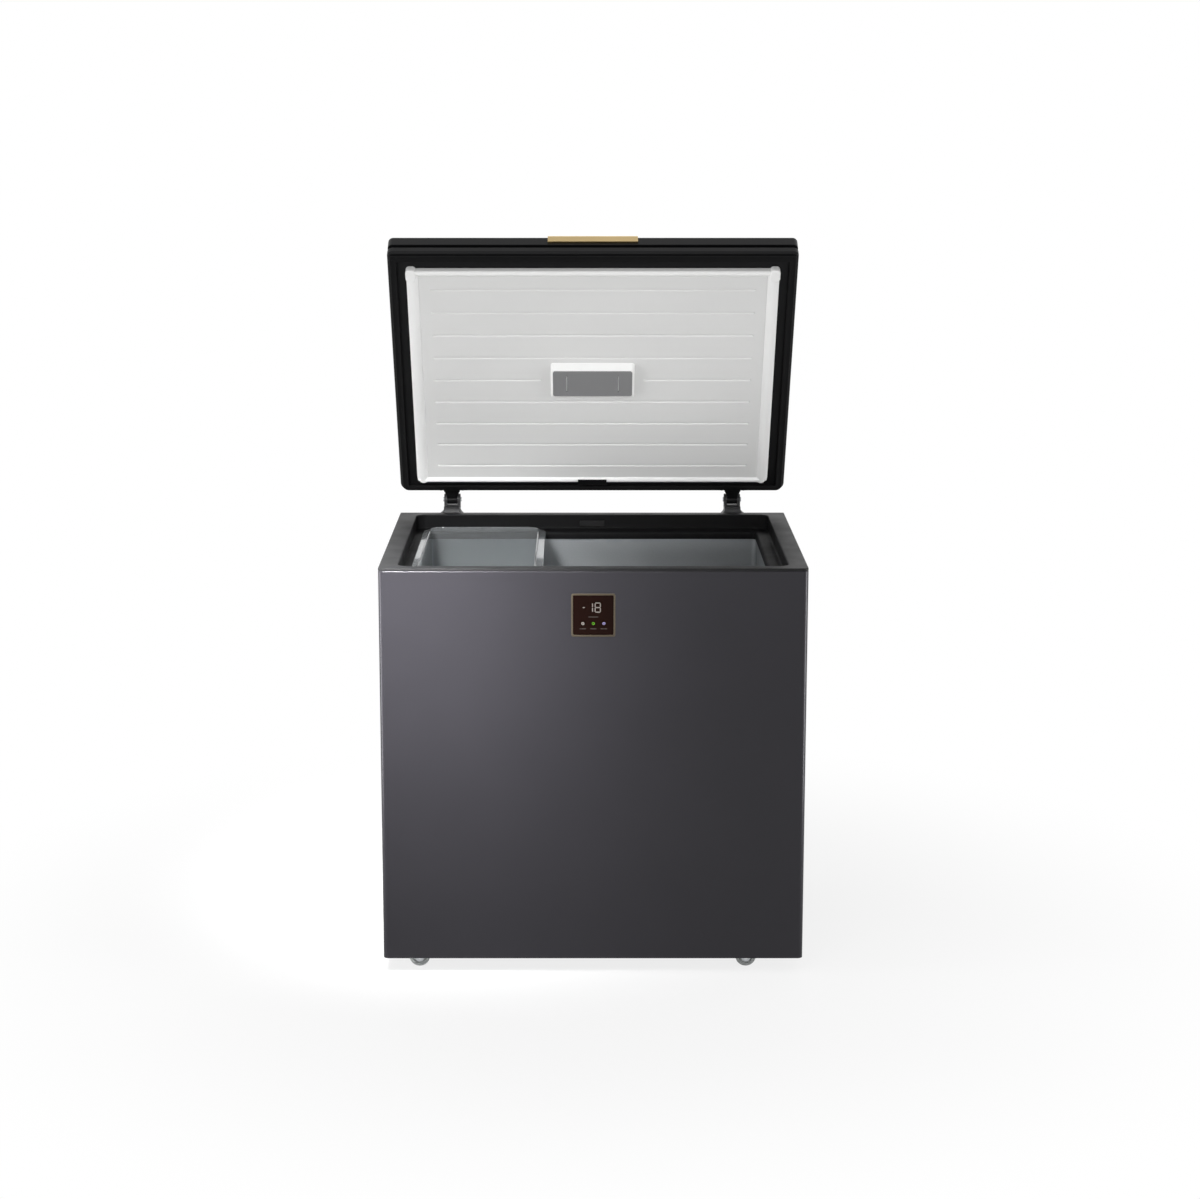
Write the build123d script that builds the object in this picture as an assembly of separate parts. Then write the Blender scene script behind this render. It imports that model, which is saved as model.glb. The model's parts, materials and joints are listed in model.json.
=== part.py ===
from build123d import *
import math
import os

# Chest freezer on four casters, drawn with its lid open, in millimetres.
# X runs from left to right, the front faces -Y and Z is up from the floor.
# The origin is on the floor under the middle of the cabinet.

# Cabinet
cabinet_width = 810.0
cabinet_depth = 606.0
rim_height = 800.0            # floor to the top of the rim
skirt_height = 32.0           # floor to the lower edge of the shell
base_height = 60.0            # floor to the underside of the base pan
shell_sheet = 0.8
shell_corner = 10.0
shell_flange = 14.0
base_sheet = 1.0
base_flange = 15.0
wall_thickness = 60.0         # outside of the cabinet to the outside of the liner
floor_thickness = 55.0        # insulation under the liner
liner_sheet = 1.0
liner_corner = 14.0
corner_room = 2.0             # extra corner radius of what stands inside the shell

# Rim and throat
rim_side = 36.0               # width of the rim's top along the sides
rim_end = 26.0                # width of the rim's top along the front and the back
rim_plate = 5.0
rim_edge_round = 1.5
throat_wall = 3.0
throat_corner = 20.0
back_corner = 3.0
ledge_drop = 30.0             # rim top down to the basket ledge
ledge_plate = 3.0
ledge_round = 5.0
lip_depth = 12.0
lip_wall = 2.7

# Compressor bay, at the right end
bay_width = 225.0
bay_height = 215.0
bay_insulation = 45.0
bay_sheet = 0.8
opening_margin = 15.0         # partition to the opening in the back panel
opening_drop = 10.0           # bay top down to that opening

# Lid, measured with the lid closed
lid_side_gap = 1.0            # lid's side inside the cabinet's side
lid_front_gap = 5.0           # lid's front edge behind the cabinet's front
lid_back_overhang = 3.0       # lid's rear face behind the cabinet's back
lid_front_corner = 10.0
lid_back_corner = 18.0
least_corner = 1.0            # corner radius of what lies deep inside the lid
seal_gap = 8.0                # rim top to the underside of the lid frame
frame_edge = 17.0             # height of the frame's outer edge
frame_plate = 2.5
frame_wall = 3.0
frame_round = 5.0
groove_height = 10.0          # finger groove between the frame and the cover
groove_depth = 6.0
cover_height = 30.0
cover_sheet = 1.2
cover_round = 8.0
cover_hem = 10.0
border_side = 37.0            # lid edge to the white liner
border_front = 37.0
border_back = 33.0
lid_open_angle = 60.0

# Lid liner
lid_liner_corner = 15.0
plug_drop = 11.0              # frame underside to the liner's field
bead_height = 4.0
bead_side = 23.0
bead_end = 11.0
bead_round = 3.0
bead_corner = 6.0
liner_wall = 2.0
liner_field = 3.0
liner_flange = 12.0
liner_flange_sheet = 1.5
rib_count = 9
rib_end_margin = 33.7         # end of the field to the first rib
rib_side_margin = 21.2        # side of the field to the end of a rib
rib_lamp_gap = 18.0           # end of the split rib to the lamp
rib_width = 7.0
rib_depth = 1.8
ear_width = 20.0
ear_length = 28.0
ear_reach = 1.5
ear_corner = 4.0

# Gasket, handle, lamp
gasket_inset = 5.0
gasket_width = 14.0
gasket_round = 3.0
handle_width = 178.0
handle_sheet = 3.5
handle_hem = 7.0              # cover edge that shows under the handle
handle_return = 12.0          # how far the handle reaches over the lid's top
handle_round = 1.2
cup_depth = 30.0
cup_wall = 1.2
lamp_base_width = 170.0
lamp_base_length = 87.0
lamp_face_width = 164.0
lamp_face_length = 66.0
lamp_height = 11.0
lamp_round = 6.0
lamp_cover_width = 161.0
lamp_cover_length = 62.0
lamp_cover_sheet = 2.5
lamp_cover_corner = 5.0
lamp_cover_round = 0.8
lamp_cavity_width = 130.2
lamp_cavity_length = 45.6
lamp_slot_spacing = 105.0
lamp_slot_length = 38.0
lamp_slot_width = 2.0

# Lid tab and the pad that faces it
tab_width = 60.0
tab_wall = 2.7
tab_reach = 10.0
pad_width = 52.0
pad_height = 11.0
pad_sheet = 3.0
pad_round = 1.0
pad_drop = 13.0               # rim top down to the pad

# Hinges
hinge_inset = 108.0           # cabinet side to the middle of a hinge
hinge_behind = 38.0           # cabinet back to the hinge axis
hinge_above = 22.0            # rim top up to the hinge axis
hinge_flange_width = 64.0
hinge_flange_height = 82.0
hinge_flange_sheet = 3.0
hinge_flange_corner = 6.0
hinge_flange_drop = 4.0       # rim top down to the top of the flange
hinge_body_rise = 8.0         # lower edge of the flange up to the body
hinge_body_corner = 4.0
hinge_body_above = 3.0        # body top above the rim
hinge_screw_inset = 8.0       # side of the flange to its screws
hinge_screw_high = 15.0       # rim top down to the upper screws
hinge_screw_low = 72.0        # rim top down to the lower screws
hinge_body_width = 34.0
hinge_cheek = 6.0
hinge_cheek_radius = 12.0
hinge_knuckle_radius = 10.0
hinge_pin_diameter = 6.0
hinge_pin_head = 10.0
hinge_pin_head_height = 2.0
arm_plate_width = 58.0
arm_bar_width = 34.0
arm_plate_sheet = 3.0
arm_bar_height = 14.0
arm_plate_corner = 4.0
arm_shoulder = 4.0            # thickness of the bar where it leaves the plate
arm_neck_gap = 2.0            # narrow neck to the hinge cheeks
arm_screw_below = 7.0         # finger groove down to the lower screws
arm_screw_above = 12.0        # cover edge up to the upper screws

# Casters
wheel_diameter = 40.0
wheel_width = 18.0
wheel_round = 3.0
wheel_dish = 27.2             # diameter of the recess in each face
wheel_dish_depth = 2.5
wheel_hub = 13.0
caster_trail = 20.0
caster_side_inset = 87.0      # cabinet side to the kingpin
caster_end_inset = 53.0       # cabinet front or back to the kingpin
caster_plate_size = 62.0
caster_plate_sheet = 2.5
caster_plate_corner = 8.0
caster_hole_inset = 7.0
fork_disc = 40.0
fork_sheet = 2.5
fork_eye_radius = 9.0
fork_above_wheel = 11.0       # top of the wheel to the top of the fork
fork_wheel_gap = 1.5
kingpin_diameter = 12.0
kingpin_head = 18.0
kingpin_head_height = 3.0
race_diameter = 30.0
axle_diameter = 6.0
axle_head = 9.0
axle_head_height = 2.0

# Basket
basket_width = 225.0
basket_height = 185.0
basket_wall = 2.5
basket_flange = 15.0
basket_flange_sheet = 3.0
basket_corner = 25.0
basket_floor_round = 10.0
basket_flange_ends = 30.0
basket_side_gap = 4.0         # basket to the throat lip beside it
basket_end_gap = 4.0

# Display on the front
display_size = 83.0
display_drop = 89.5           # rim top to the middle of the display
display_frame_width = 3.2
display_proud = 1.5
display_corner = 4.0
display_round = 0.8
glass_recess = 0.5
glass_round = 0.4
spigot_wall = 0.9
spigot_reach = 2.0
spigot_gap = 0.2
board_margin = 2.0
display_glass_thickness = 2.5
display_board_thickness = 1.6
display_housing_size = 92.0
display_housing_depth = 18.0
display_housing_wall = 2.0
cable_diameter = 5.0
cable_bend = 6.0
cable_inset = 11.0            # shell to the cable
cable_from_partition = 50.0
cable_below_step = 22.0
cable_below_display = 10.0
control_box_drop = 26.0       # bay top down to the control box
control_box_width = 76.0
control_box_depth = 45.7
control_box_height = 94.0
control_box_corner = 3.0

# Cooling circuit
evaporator_diameter = 8.0
evaporator_turns = 7
evaporator_above_step = 22.0
evaporator_below_rim = 63.2   # liner's upper edge down to the highest turn
riser_from = 40.0             # middle of the back to where each turn begins to climb
inlet_offset = 42.0           # inlet pipe to the compressor's middle
return_gap = 5.0
pipe_drop = 14.0              # bay top down to the ends of the evaporator
condenser_diameter = 5.0
condenser_runs = 6
condenser_above_step = 10.0
condenser_below_display = 57.7
condenser_turn_inset = 41.0   # cabinet back to the folds
condenser_return_inset = 15.0
condenser_gap = 0.1
condenser_corner_room = 4.0
drop_inset = 20.0             # shell side to the two ends in the bay
drop_above_bay = 24.0
pipe_bend = 12.0
compressor_radius = 75.0
compressor_height = 160.0
compressor_from_partition = 112.8
compressor_from_back = 203.0
compressor_plate = 3.0
compressor_plate_x = 120.0
compressor_plate_y = 190.0
compressor_plate_corner = 14.0
pot_foot_radius = 45.0
pot_crown_radius = 41.25
pot_shoulder_low = 26.0
pot_shoulder_high = 44.0
pot_low_arc = 41.25
pot_high_arc = 46.5
pot_crown = 7.0
pot_seam = 4.0
pot_seam_height = 72.0        # foot plate up to the weld seam
suction_height = 99.2
discharge_height = 89.6
terminal_width = 60.0
terminal_depth = 28.0
terminal_overlap = 16.0
terminal_rise = 30.0
terminal_corner = 4.0
grommet_height = 12.0
grommet_diameter = 24.0
grommet_neck = 13.4
grommet_inset = 16.0
grommet_cap = 20.0
drier_diameter = 16.0
drier_length = 80.0
drier_drop = 36.0             # bay top down to the drier
drier_neck = 10.0
capillary_diameter = 2.5
capillary_drop = 20.0
suction_diameter = 8.0
discharge_diameter = 6.0

# Rear grille, gland, drain
grille_sheet = 1.2
grille_margin = 12.0          # how far the grille overlaps the edge of its opening
louvre_length = 52.0
louvre_width = 6.0
louvre_rows = 10
louvre_columns = 3
louvre_top_margin = 10.0
gland_bore = 8.0
gland_body = 14.0
gland_flange = 22.0
gland_flange_height = 3.0
gland_depth = 12.0
gland_from_left = 28.0
gland_from_below = 26.0
drain_bore = 14.0
drain_tube_wall = 3.0
drain_from_side = 165.0
drain_from_front = 153.0
drain_below = 6.0
plug_length = 18.0
plug_head = 26.0
plug_head_height = 4.0
plug_round = 1.5

# Fasteners
screw_diameter = 4.0
screw_head = 8.5
screw_head_height = 2.8
screw_length = 12.0
screw_round = 1.2
screw_relief = 1.0            # extra depth of a hole at each end
bolt_diameter = 6.0
bolt_head = 13.0
bolt_head_height = 5.0

# Clearances
fit = 0.3                     # between pieces that are placed by hand
running = 0.05                # radial, between a pin and what turns on it
tube_room = 1.0               # round a tube laid in the foam
over = 1.0                    # how far a cut runs past a face

# Places that follow from the sizes above
half_width = cabinet_width / 2
front_y = -cabinet_depth / 2
back_y = cabinet_depth / 2
inside_front = front_y + shell_sheet
inside_back = back_y - shell_sheet
inside_half = half_width - shell_sheet
shell_top = rim_height - rim_plate
base_top = base_height + base_sheet
liner_half = half_width - wall_thickness
liner_front = front_y + wall_thickness
liner_back = back_y - wall_thickness
liner_floor = base_top + floor_thickness
ledge_top = rim_height - ledge_drop
liner_top = ledge_top - ledge_plate
lip_inset = wall_thickness + liner_sheet + fit + lip_wall
bay_left = inside_half - bay_width
bay_top = base_top + bay_height
step_left = bay_left - bay_sheet - bay_insulation
step_top = bay_top + bay_sheet + bay_insulation
hinge_y = back_y + hinge_behind
hinge_z = rim_height + hinge_above
lid_back = back_y + lid_back_overhang
lid_front = front_y + lid_front_gap
lid_half = half_width - lid_side_gap
lid_liner_half = lid_half - border_side - fit
lid_liner_front = lid_front + border_front + fit
lid_liner_back = lid_back - border_back - fit
rib_length = 2 * (lid_liner_half - bead_side - rib_side_margin)
rib_run = lid_liner_back - lid_liner_front - 2 * bead_end - 2 * rib_end_margin
rib_pitch = rib_run / (rib_count - 1)
lid_under = rim_height + seal_gap
groove_low = lid_under + frame_edge
cover_low = groove_low + groove_height
cover_top = cover_low + cover_height
field_z = lid_under - plug_drop
bead_z = field_z - bead_height
display_z = rim_height - display_drop
glass_size = display_size - 2 * display_frame_width
glass_front = front_y - display_proud + glass_recess
board_front = glass_front + display_glass_thickness
hinge_centres = [-half_width + hinge_inset, half_width - hinge_inset]
caster_x = half_width - caster_side_inset
caster_y = back_y - caster_end_inset
drain_x = -half_width + drain_from_side
drain_y = front_y + drain_from_front
drain_outer = drain_bore + 2 * drain_tube_wall
drain_hole = drain_outer + 2 * fit
compressor_x = bay_left + compressor_from_partition
compressor_y = back_y - compressor_from_back
caster_spots = {
    "front_left": (-caster_x, -caster_y),
    "front_right": (caster_x, -caster_y),
    "rear_left": (-caster_x, caster_y),
    "rear_right": (caster_x, caster_y),
}

os.makedirs("parts", exist_ok=True)


def save(node, shape):
    export_step(shape, "parts/" + node + ".step")


def slab(x0, x1, y0, y1, z0, z1, corner=0.0):
    """An upright block between two corners, with its four vertical edges rounded."""
    if corner > 0:
        outline = RectangleRounded(x1 - x0, y1 - y0, corner)
    else:
        outline = Rectangle(x1 - x0, y1 - y0)
    return Pos((x0 + x1) / 2, (y0 + y1) / 2, z0) * extrude(outline, amount=z1 - z0)


def cabinet_slab(side, front, back, z0, z1, corner=0.0):
    """A block inset from the cabinet's sides, front and back."""
    return slab(-half_width + side, half_width - side, front_y + front, back_y - back, z0, z1, corner)


def outline_slab(x_half, y0, y1, z0, z1, front_corner, back_corner):
    """A block whose front and back vertical edges have their own radii."""
    block = slab(-x_half, x_half, y0, y1, z0, z1)
    uprights = block.edges().filter_by(Axis.Z).sort_by(Axis.Y)
    if front_corner > 0:
        block = fillet(uprights[:2], front_corner)
        uprights = block.edges().filter_by(Axis.Z).sort_by(Axis.Y)
    if back_corner > 0:
        block = fillet(uprights[-2:], back_corner)
    return block


def rod(start, direction, length, diameter):
    """A round bar from a point along a direction."""
    return Plane(origin=start, z_dir=direction) * extrude(Circle(diameter / 2), amount=length)


def tube(points, bend, diameter):
    """One unbroken round tube through the points, with every corner bent to one radius."""
    path = FilletPolyline(points, radius=bend)
    section = Plane(origin=path @ 0, z_dir=path % 0) * Circle(diameter / 2)
    return sweep(section, path=path)


def face_edges_at(shape, height):
    """Edges of the level faces of a shape at one height."""
    level = shape.faces().filter_by(Plane.XY)
    return ShapeList(
        edge for face in level if abs(face.center().Z - height) < 0.01 for edge in face.edges()
    )


def screw(start, direction):
    """A pan-head screw whose head stands on the start point, pointing along the direction."""
    back = tuple(-value for value in direction)
    head = rod(start, back, screw_head_height, screw_head)
    outer_edge = head.edges().sort_by(lambda edge: (edge.center() - Vector(start)).dot(Vector(back)))[-1:]
    head = fillet(outer_edge, screw_round)
    return head + rod(start, direction, screw_length, screw_diameter)


def screw_hole(start, direction):
    """Room for a screw's shank on both sides of the start point."""
    back = Vector(start) - Vector(direction) * screw_relief
    return rod(tuple(back), direction, screw_length + 2 * screw_relief, screw_diameter + 2 * running)


def opened(shape):
    """A lid piece turned from the closed place to the open one."""
    turn = Pos(0, hinge_y, hinge_z) * Rot(-lid_open_angle, 0, 0) * Pos(0, -hinge_y, -hinge_z)
    return turn * shape


# Places of the screws, each with the way it points
hinge_screw_points = [
    (centre + side * (hinge_flange_width / 2 - hinge_screw_inset), back_y + hinge_flange_sheet, z)
    for centre in hinge_centres
    for side in (-1, 1)
    for z in (rim_height - hinge_screw_high, rim_height - hinge_screw_low)
]
opening_left = bay_left + opening_margin
opening_right = inside_half - shell_flange - grille_margin
opening_low = base_top + base_flange + 1.5 * grille_margin
opening_high = bay_top - opening_drop
grille_left = opening_left - grille_margin
grille_right = opening_right + grille_margin
grille_low = opening_low - grille_margin
grille_high = opening_high + grille_margin
grille_screw_points = [
    (x, back_y + grille_sheet, z)
    for x in (grille_left + grille_margin / 2, grille_right - grille_margin / 2)
    for z in (grille_low + grille_margin / 2, grille_high - grille_margin / 2)
]
forwards = (0, -1, 0)
backwards = (0, 1, 0)
sideways = (1, 0, 0)
upwards = (0, 0, 1)
caster_hole = caster_plate_size / 2 - caster_hole_inset
caster_screw_points = [
    (x + dx, y + dy, base_height - caster_plate_sheet)
    for x, y in caster_spots.values()
    for dx in (-caster_hole, caster_hole)
    for dy in (-caster_hole, caster_hole)
]
arm_screw_x = (arm_plate_width + arm_bar_width) / 4
arm_screw_points = [
    (centre + dx, lid_back + arm_plate_sheet, z)
    for centre in hinge_centres
    for dx in (-arm_screw_x, arm_screw_x)
    for z in (groove_low - arm_screw_below, cover_low + arm_screw_above)
]


# Outer shell: front and both sides in one bent sheet, flanged inwards at the top and the back
def outer_shell():
    sheet = outline_slab(half_width, front_y, inside_back, skirt_height, shell_top, shell_corner, 0)
    hollow = outline_slab(
        inside_half, inside_front, inside_back - shell_sheet,
        skirt_height - over, shell_top - shell_sheet, shell_corner - shell_sheet, 0,
    )
    mouth = cabinet_slab(shell_flange, shell_flange, -over, skirt_height - over, shell_top + over)
    window = glass_size / 2 + spigot_wall + spigot_gap
    hole = slab(
        -window, window, front_y - over, inside_front + over, display_z - window, display_z + window
    )
    return sheet - hollow - mouth - hole


# Back panel with the opening of the compressor bay
def back_panel():
    panel = slab(-half_width, half_width, inside_back, back_y, base_height, shell_top)
    opening = slab(opening_left, opening_right, inside_back - over, back_y + over, opening_low, opening_high)
    panel = panel - opening
    for point in hinge_screw_points + grille_screw_points:
        panel = panel - screw_hole(point, forwards)
    return panel


# Base pan: a tray that closes the cabinet from below
def base_pan():
    pan_back = inside_back - shell_sheet
    pan_corner = shell_corner + corner_room
    tray = outline_slab(
        inside_half, inside_front, pan_back, base_height, base_top + base_flange, pan_corner, 0
    )
    hollow = outline_slab(
        inside_half - base_sheet, inside_front + base_sheet, pan_back - base_sheet,
        base_top, base_top + base_flange + over, pan_corner - base_sheet, 0,
    )
    tray = tray - hollow
    for point in caster_screw_points:
        tray = tray - screw_hole(point, upwards)
    return tray - rod((drain_x, drain_y, base_height - over), upwards, base_flange, drain_hole)


def throat_block(z0, z1, grow=0.0):
    """The opening inside the rim, or a larger block round it."""
    return cabinet_slab(
        rim_side - grow, rim_end - grow, rim_end - grow, z0, z1, throat_corner + grow
    )


def lip_block(z0, z1, grow=0.0):
    """The opening inside the throat's lower lip, or a larger block round it."""
    inset = lip_inset - grow
    return cabinet_slab(inset, inset, inset, z0, z1, liner_corner - liner_sheet - fit - lip_wall + grow)


# Rim: flat top, stepped throat with the basket ledge, and a lip that covers the liner's edge
def top_frame():
    plate = outline_slab(half_width, front_y, back_y, shell_top, rim_height, shell_corner, back_corner)
    frame = plate + throat_block(liner_top, shell_top, throat_wall)
    frame = frame + lip_block(liner_top - lip_depth, liner_top, lip_wall)
    frame = frame - throat_block(ledge_top, rim_height + over)
    frame = frame - lip_block(liner_top - lip_depth - over, ledge_top + over)
    ledge_faces = [
        face for face in frame.faces().filter_by(Plane.XY) if abs(face.center().Z - ledge_top) < 0.01
    ]
    inner_edges = ShapeList(
        edge for face in ledge_faces for wire in face.inner_wires() for edge in wire.edges()
    )
    frame = fillet(inner_edges, ledge_round)
    return fillet(face_edges_at(frame, rim_height), rim_edge_round)


def liner_volume(inset, top):
    """The space inside the cabinet with its step over the compressor bay."""
    corner = liner_corner - inset
    left, front, back = -liner_half + inset, liner_front + inset, liner_back - inset
    well = slab(left, step_left - inset, front, back, liner_floor + inset, top, corner)
    upper = slab(left, liner_half - inset, front, back, step_top + inset, top, corner)
    return well + upper


def inner_liner():
    sheet = liner_volume(0.0, liner_top) - liner_volume(liner_sheet, liner_top + over)
    return sheet - rod((drain_x, drain_y, liner_floor - over), upwards, liner_sheet + 2 * over, drain_hole)


# Sheet between the compressor bay and the foam
def bay_partition():
    front, back = inside_front, inside_back - shell_sheet
    wall = slab(bay_left - bay_sheet, bay_left, front, back, base_top, bay_top + bay_sheet)
    top = slab(bay_left, inside_half, front, back, bay_top, bay_top + bay_sheet)
    partition = wall + top
    flange = slab(bay_left - bay_sheet, inside_half, front, back, base_top, base_top + base_flange)
    pan_room = flange - slab(
        bay_left - base_flange, inside_half - base_sheet - fit,
        front + base_sheet + fit, back - base_sheet - fit,
        base_top, base_top + base_flange,
    )
    partition = partition - pan_room
    low, high = bay_top - over, bay_top + bay_sheet + over
    shell_room = outline_slab(half_width, front - over, back, low, high, 0, 0) - outline_slab(
        inside_half, front, back + over, low, high, shell_corner + corner_room, 0
    )
    partition = partition - shell_room
    for x, y, diameter in partition_holes:
        partition = partition - rod((x, y, low), upwards, high - low, diameter + 2 * fit)
    return partition


# Routes of the tubes
evaporator_gap = evaporator_diameter / 2 + fit
coil_half = liner_half + evaporator_gap
coil_front = liner_front - evaporator_gap
coil_back = liner_back + evaporator_gap
coil_low = step_top + evaporator_above_step
coil_high = liner_top - evaporator_below_rim
evaporator_pitch = (coil_high - coil_low) / (evaporator_turns - 1)
riser_to = riser_from + evaporator_pitch
inlet_x = compressor_x - inlet_offset
return_y = coil_back + evaporator_diameter + return_gap
pipe_low = bay_top - pipe_drop
coil_corner = liner_corner + evaporator_gap


def evaporator_points():
    """Level turns round the liner, each joined to the next by a slope on the back."""
    points = [(inlet_x, coil_back, pipe_low), (inlet_x, coil_back, coil_low)]
    for turn in range(evaporator_turns):
        z = coil_low + turn * evaporator_pitch
        if turn > 0:
            points.append((riser_to, coil_back, z))
        points += [(coil_half, coil_back, z), (coil_half, coil_front, z)]
        points += [(-coil_half, coil_front, z), (-coil_half, coil_back, z)]
        points.append((riser_from, coil_back, z))
    points += [(riser_to, return_y, coil_high), (compressor_x, return_y, coil_high)]
    points.append((compressor_x, return_y, pipe_low))
    return points


skin_gap = condenser_diameter / 2 + condenser_gap
skin_half = inside_half - skin_gap
skin_front = inside_front + skin_gap
skin_turn = back_y - condenser_turn_inset
skin_return = back_y - condenser_return_inset
skin_low = step_top + condenser_above_step
skin_high = display_z - display_housing_size / 2 - condenser_below_display
condenser_pitch = (skin_high - skin_low) / (condenser_runs - 1)
drop_x = inside_half - drop_inset
drop_z = bay_top + drop_above_bay
drier_top = bay_top - drier_drop
skin_corner = shell_corner + condenser_corner_room


def condenser_points():
    """Level runs along the sides and the front, folded at the back edges, both ends in the bay."""
    points = [(drop_x, skin_turn, drier_top), (drop_x, skin_turn, drop_z)]
    points.append((skin_half, skin_turn, drop_z))
    for run in range(condenser_runs):
        z = skin_low + run * condenser_pitch
        side = 1 if run % 2 == 0 else -1
        last = run == condenser_runs - 1
        points += [(side * skin_half, skin_turn, z), (side * skin_half, skin_front, z)]
        points += [(-side * skin_half, skin_front, z)]
        points += [(-side * skin_half, skin_return if last else skin_turn, z)]
    points += [(skin_half, skin_return, drop_z), (drop_x, skin_return, drop_z)]
    points.append((drop_x, skin_return, drier_top))
    return points


cable_y = inside_front + cable_inset
cable_x = bay_left + cable_from_partition
cable_z = step_top - cable_below_step
control_top = bay_top - control_box_drop
partition_holes = [
    (inlet_x, coil_back, evaporator_diameter),
    (compressor_x, return_y, evaporator_diameter),
    (drop_x, skin_turn, condenser_diameter),
    (drop_x, skin_return, condenser_diameter),
    (cable_x, cable_y, cable_diameter),
]


def least_gap(points, bend, diameter):
    """Smallest free space between stretches of one tube that are far apart along it."""
    path = FilletPolyline(points, radius=bend)
    step = 4 * diameter
    count = int(path.length / step)
    spots = [path.position_at(i / count) for i in range(count + 1)]
    nearest = min(
        (spots[i] - spots[j]).length
        for i in range(count + 1)
        for j in range(i + 5, count + 1)
    )
    return nearest - diameter


# Foam between the shell and the liner, with channels for the tubes, the cable and the screws
def cabinet_foam():
    foam_back = inside_back - shell_sheet
    foam_corner = shell_corner + corner_room
    foam_top = shell_top - shell_sheet
    pan_top = base_top + base_flange
    foam = outline_slab(inside_half, inside_front, foam_back, base_top, foam_top, foam_corner, 0)
    rim_of_pan = outline_slab(
        inside_half + over, inside_front - over, foam_back + over, base_top, pan_top, 0, 0
    )
    pan_inside = outline_slab(
        inside_half - base_sheet - fit, inside_front + base_sheet + fit, foam_back - base_sheet - fit,
        base_top, pan_top, foam_corner, 0,
    )
    foam = foam - (rim_of_pan - pan_inside)
    foam = foam - throat_block(liner_top, shell_top, throat_wall) - liner_volume(0.0, liner_top)
    foam = foam - slab(bay_left - bay_sheet, half_width, front_y, back_y, base_top, bay_top + bay_sheet)

    # Channels of the evaporator, on the liner's side
    reach = evaporator_gap + evaporator_diameter / 2 + tube_room
    half = evaporator_diameter / 2 + tube_room
    around = slab(
        -liner_half - reach, liner_half + reach, liner_front - reach, liner_back + reach,
        0, 2 * half, liner_corner + reach,
    )
    for turn in range(evaporator_turns):
        foam = foam - Pos(0, 0, coil_low + turn * evaporator_pitch - half) * around
    behind = liner_back + reach
    far_behind = return_y + half
    bent = pipe_bend + half
    low, high = coil_low - half, coil_high + half
    left, right = compressor_x - half, compressor_x + half
    foam = foam - slab(riser_from - bent, riser_to + bent, liner_back, behind, low, high)
    foam = foam - slab(inlet_x - half, inlet_x + bent, liner_back, behind, bay_top, coil_low + half)
    foam = foam - slab(riser_from - bent, right, liner_back, far_behind, coil_high - bent, high)
    foam = foam - slab(left, right, liner_back, far_behind, bay_top, coil_high)

    # Channels of the condenser, on the shell's side
    depth = skin_gap + condenser_diameter / 2 + tube_room
    half = condenser_diameter / 2 + tube_room
    core = outline_slab(inside_half - depth, inside_front + depth, back_y, 0, 2 * half, skin_corner, 0)
    band = cabinet_slab(0, 0, 0, 0, 2 * half) - core
    for run in range(condenser_runs):
        foam = foam - Pos(0, 0, skin_low + run * condenser_pitch - half) * band
    fold_front = skin_turn - pipe_bend - half
    for side in (-1, 1):
        edges = sorted((side * inside_half, side * (inside_half - depth)))
        foam = foam - slab(*edges, fold_front, back_y, skin_low - half, skin_high + half)
    foam = foam - slab(drop_x - bent, inside_half, fold_front, back_y, bay_top, skin_low + half)

    # Display pocket and the cable below it
    pocket = display_housing_size / 2
    pocket_back = inside_front + display_housing_depth
    foam = foam - slab(-pocket, pocket, front_y, pocket_back, display_z - pocket, display_z + pocket)
    half = cable_diameter / 2 + cable_bend / 2
    foam = foam - slab(-half, half, front_y, cable_y + half, cable_z - half, display_z)
    foam = foam - slab(-half, cable_x + half, front_y, cable_y + half, cable_z - half, cable_z + half)
    foam = foam - slab(cable_x - half, cable_x + half, front_y, cable_y + half, bay_top, cable_z + half)

    foam = foam - rod((drain_x, drain_y, base_top - over), upwards, floor_thickness + 2 * over, drain_outer)
    for point in hinge_screw_points + grille_screw_points:
        foam = foam - screw_hole(point, forwards)
    for point in caster_screw_points:
        foam = foam - screw_hole(point, upwards)
    return foam


# Compressor: a steel pot welded to its stamped foot plate
plate_low = base_top + grommet_height
plate_top = plate_low + compressor_plate
grommet_spots = [
    (compressor_x + dx, compressor_y + dy)
    for dx in (grommet_inset - compressor_plate_x / 2, compressor_plate_x / 2 - grommet_inset)
    for dy in (grommet_inset - compressor_plate_y / 2, compressor_plate_y / 2 - grommet_inset)
]
pot_middle = plate_top + pot_seam_height
suction_z = plate_top + suction_height
discharge_z = plate_top + discharge_height


def compressor():
    r, low, high = compressor_radius, plate_top, plate_top + compressor_height
    shoulder_low, shoulder_high = low + pot_shoulder_low, high - pot_shoulder_high
    seam = pot_seam
    with BuildPart() as pot:
        with BuildSketch(Plane.XZ):
            with BuildLine():
                foot = (pot_foot_radius, low)
                crown = (pot_crown_radius, high - pot_crown)
                Line((0, low), foot)
                RadiusArc(foot, (r, shoulder_low), -pot_low_arc)
                Polyline(
                    (r, shoulder_low), (r, pot_middle), (r + seam, pot_middle),
                    (r + seam, pot_middle + seam), (r, pot_middle + seam), (r, shoulder_high),
                )
                RadiusArc((r, shoulder_high), crown, -pot_high_arc)
                Polyline(crown, (0, high), (0, low))
            make_face()
        revolve(axis=Axis.Z)
    plate = slab(
        compressor_x - compressor_plate_x / 2, compressor_x + compressor_plate_x / 2,
        compressor_y - compressor_plate_y / 2, compressor_y + compressor_plate_y / 2,
        plate_low, plate_top, compressor_plate_corner,
    )
    for x, y in grommet_spots:
        hole = grommet_neck + 2 * fit
        plate = plate - rod((x, y, plate_low - over), upwards, compressor_plate + 2 * over, hole)
    return plate + Pos(compressor_x, compressor_y, 0) * pot.part


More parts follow.
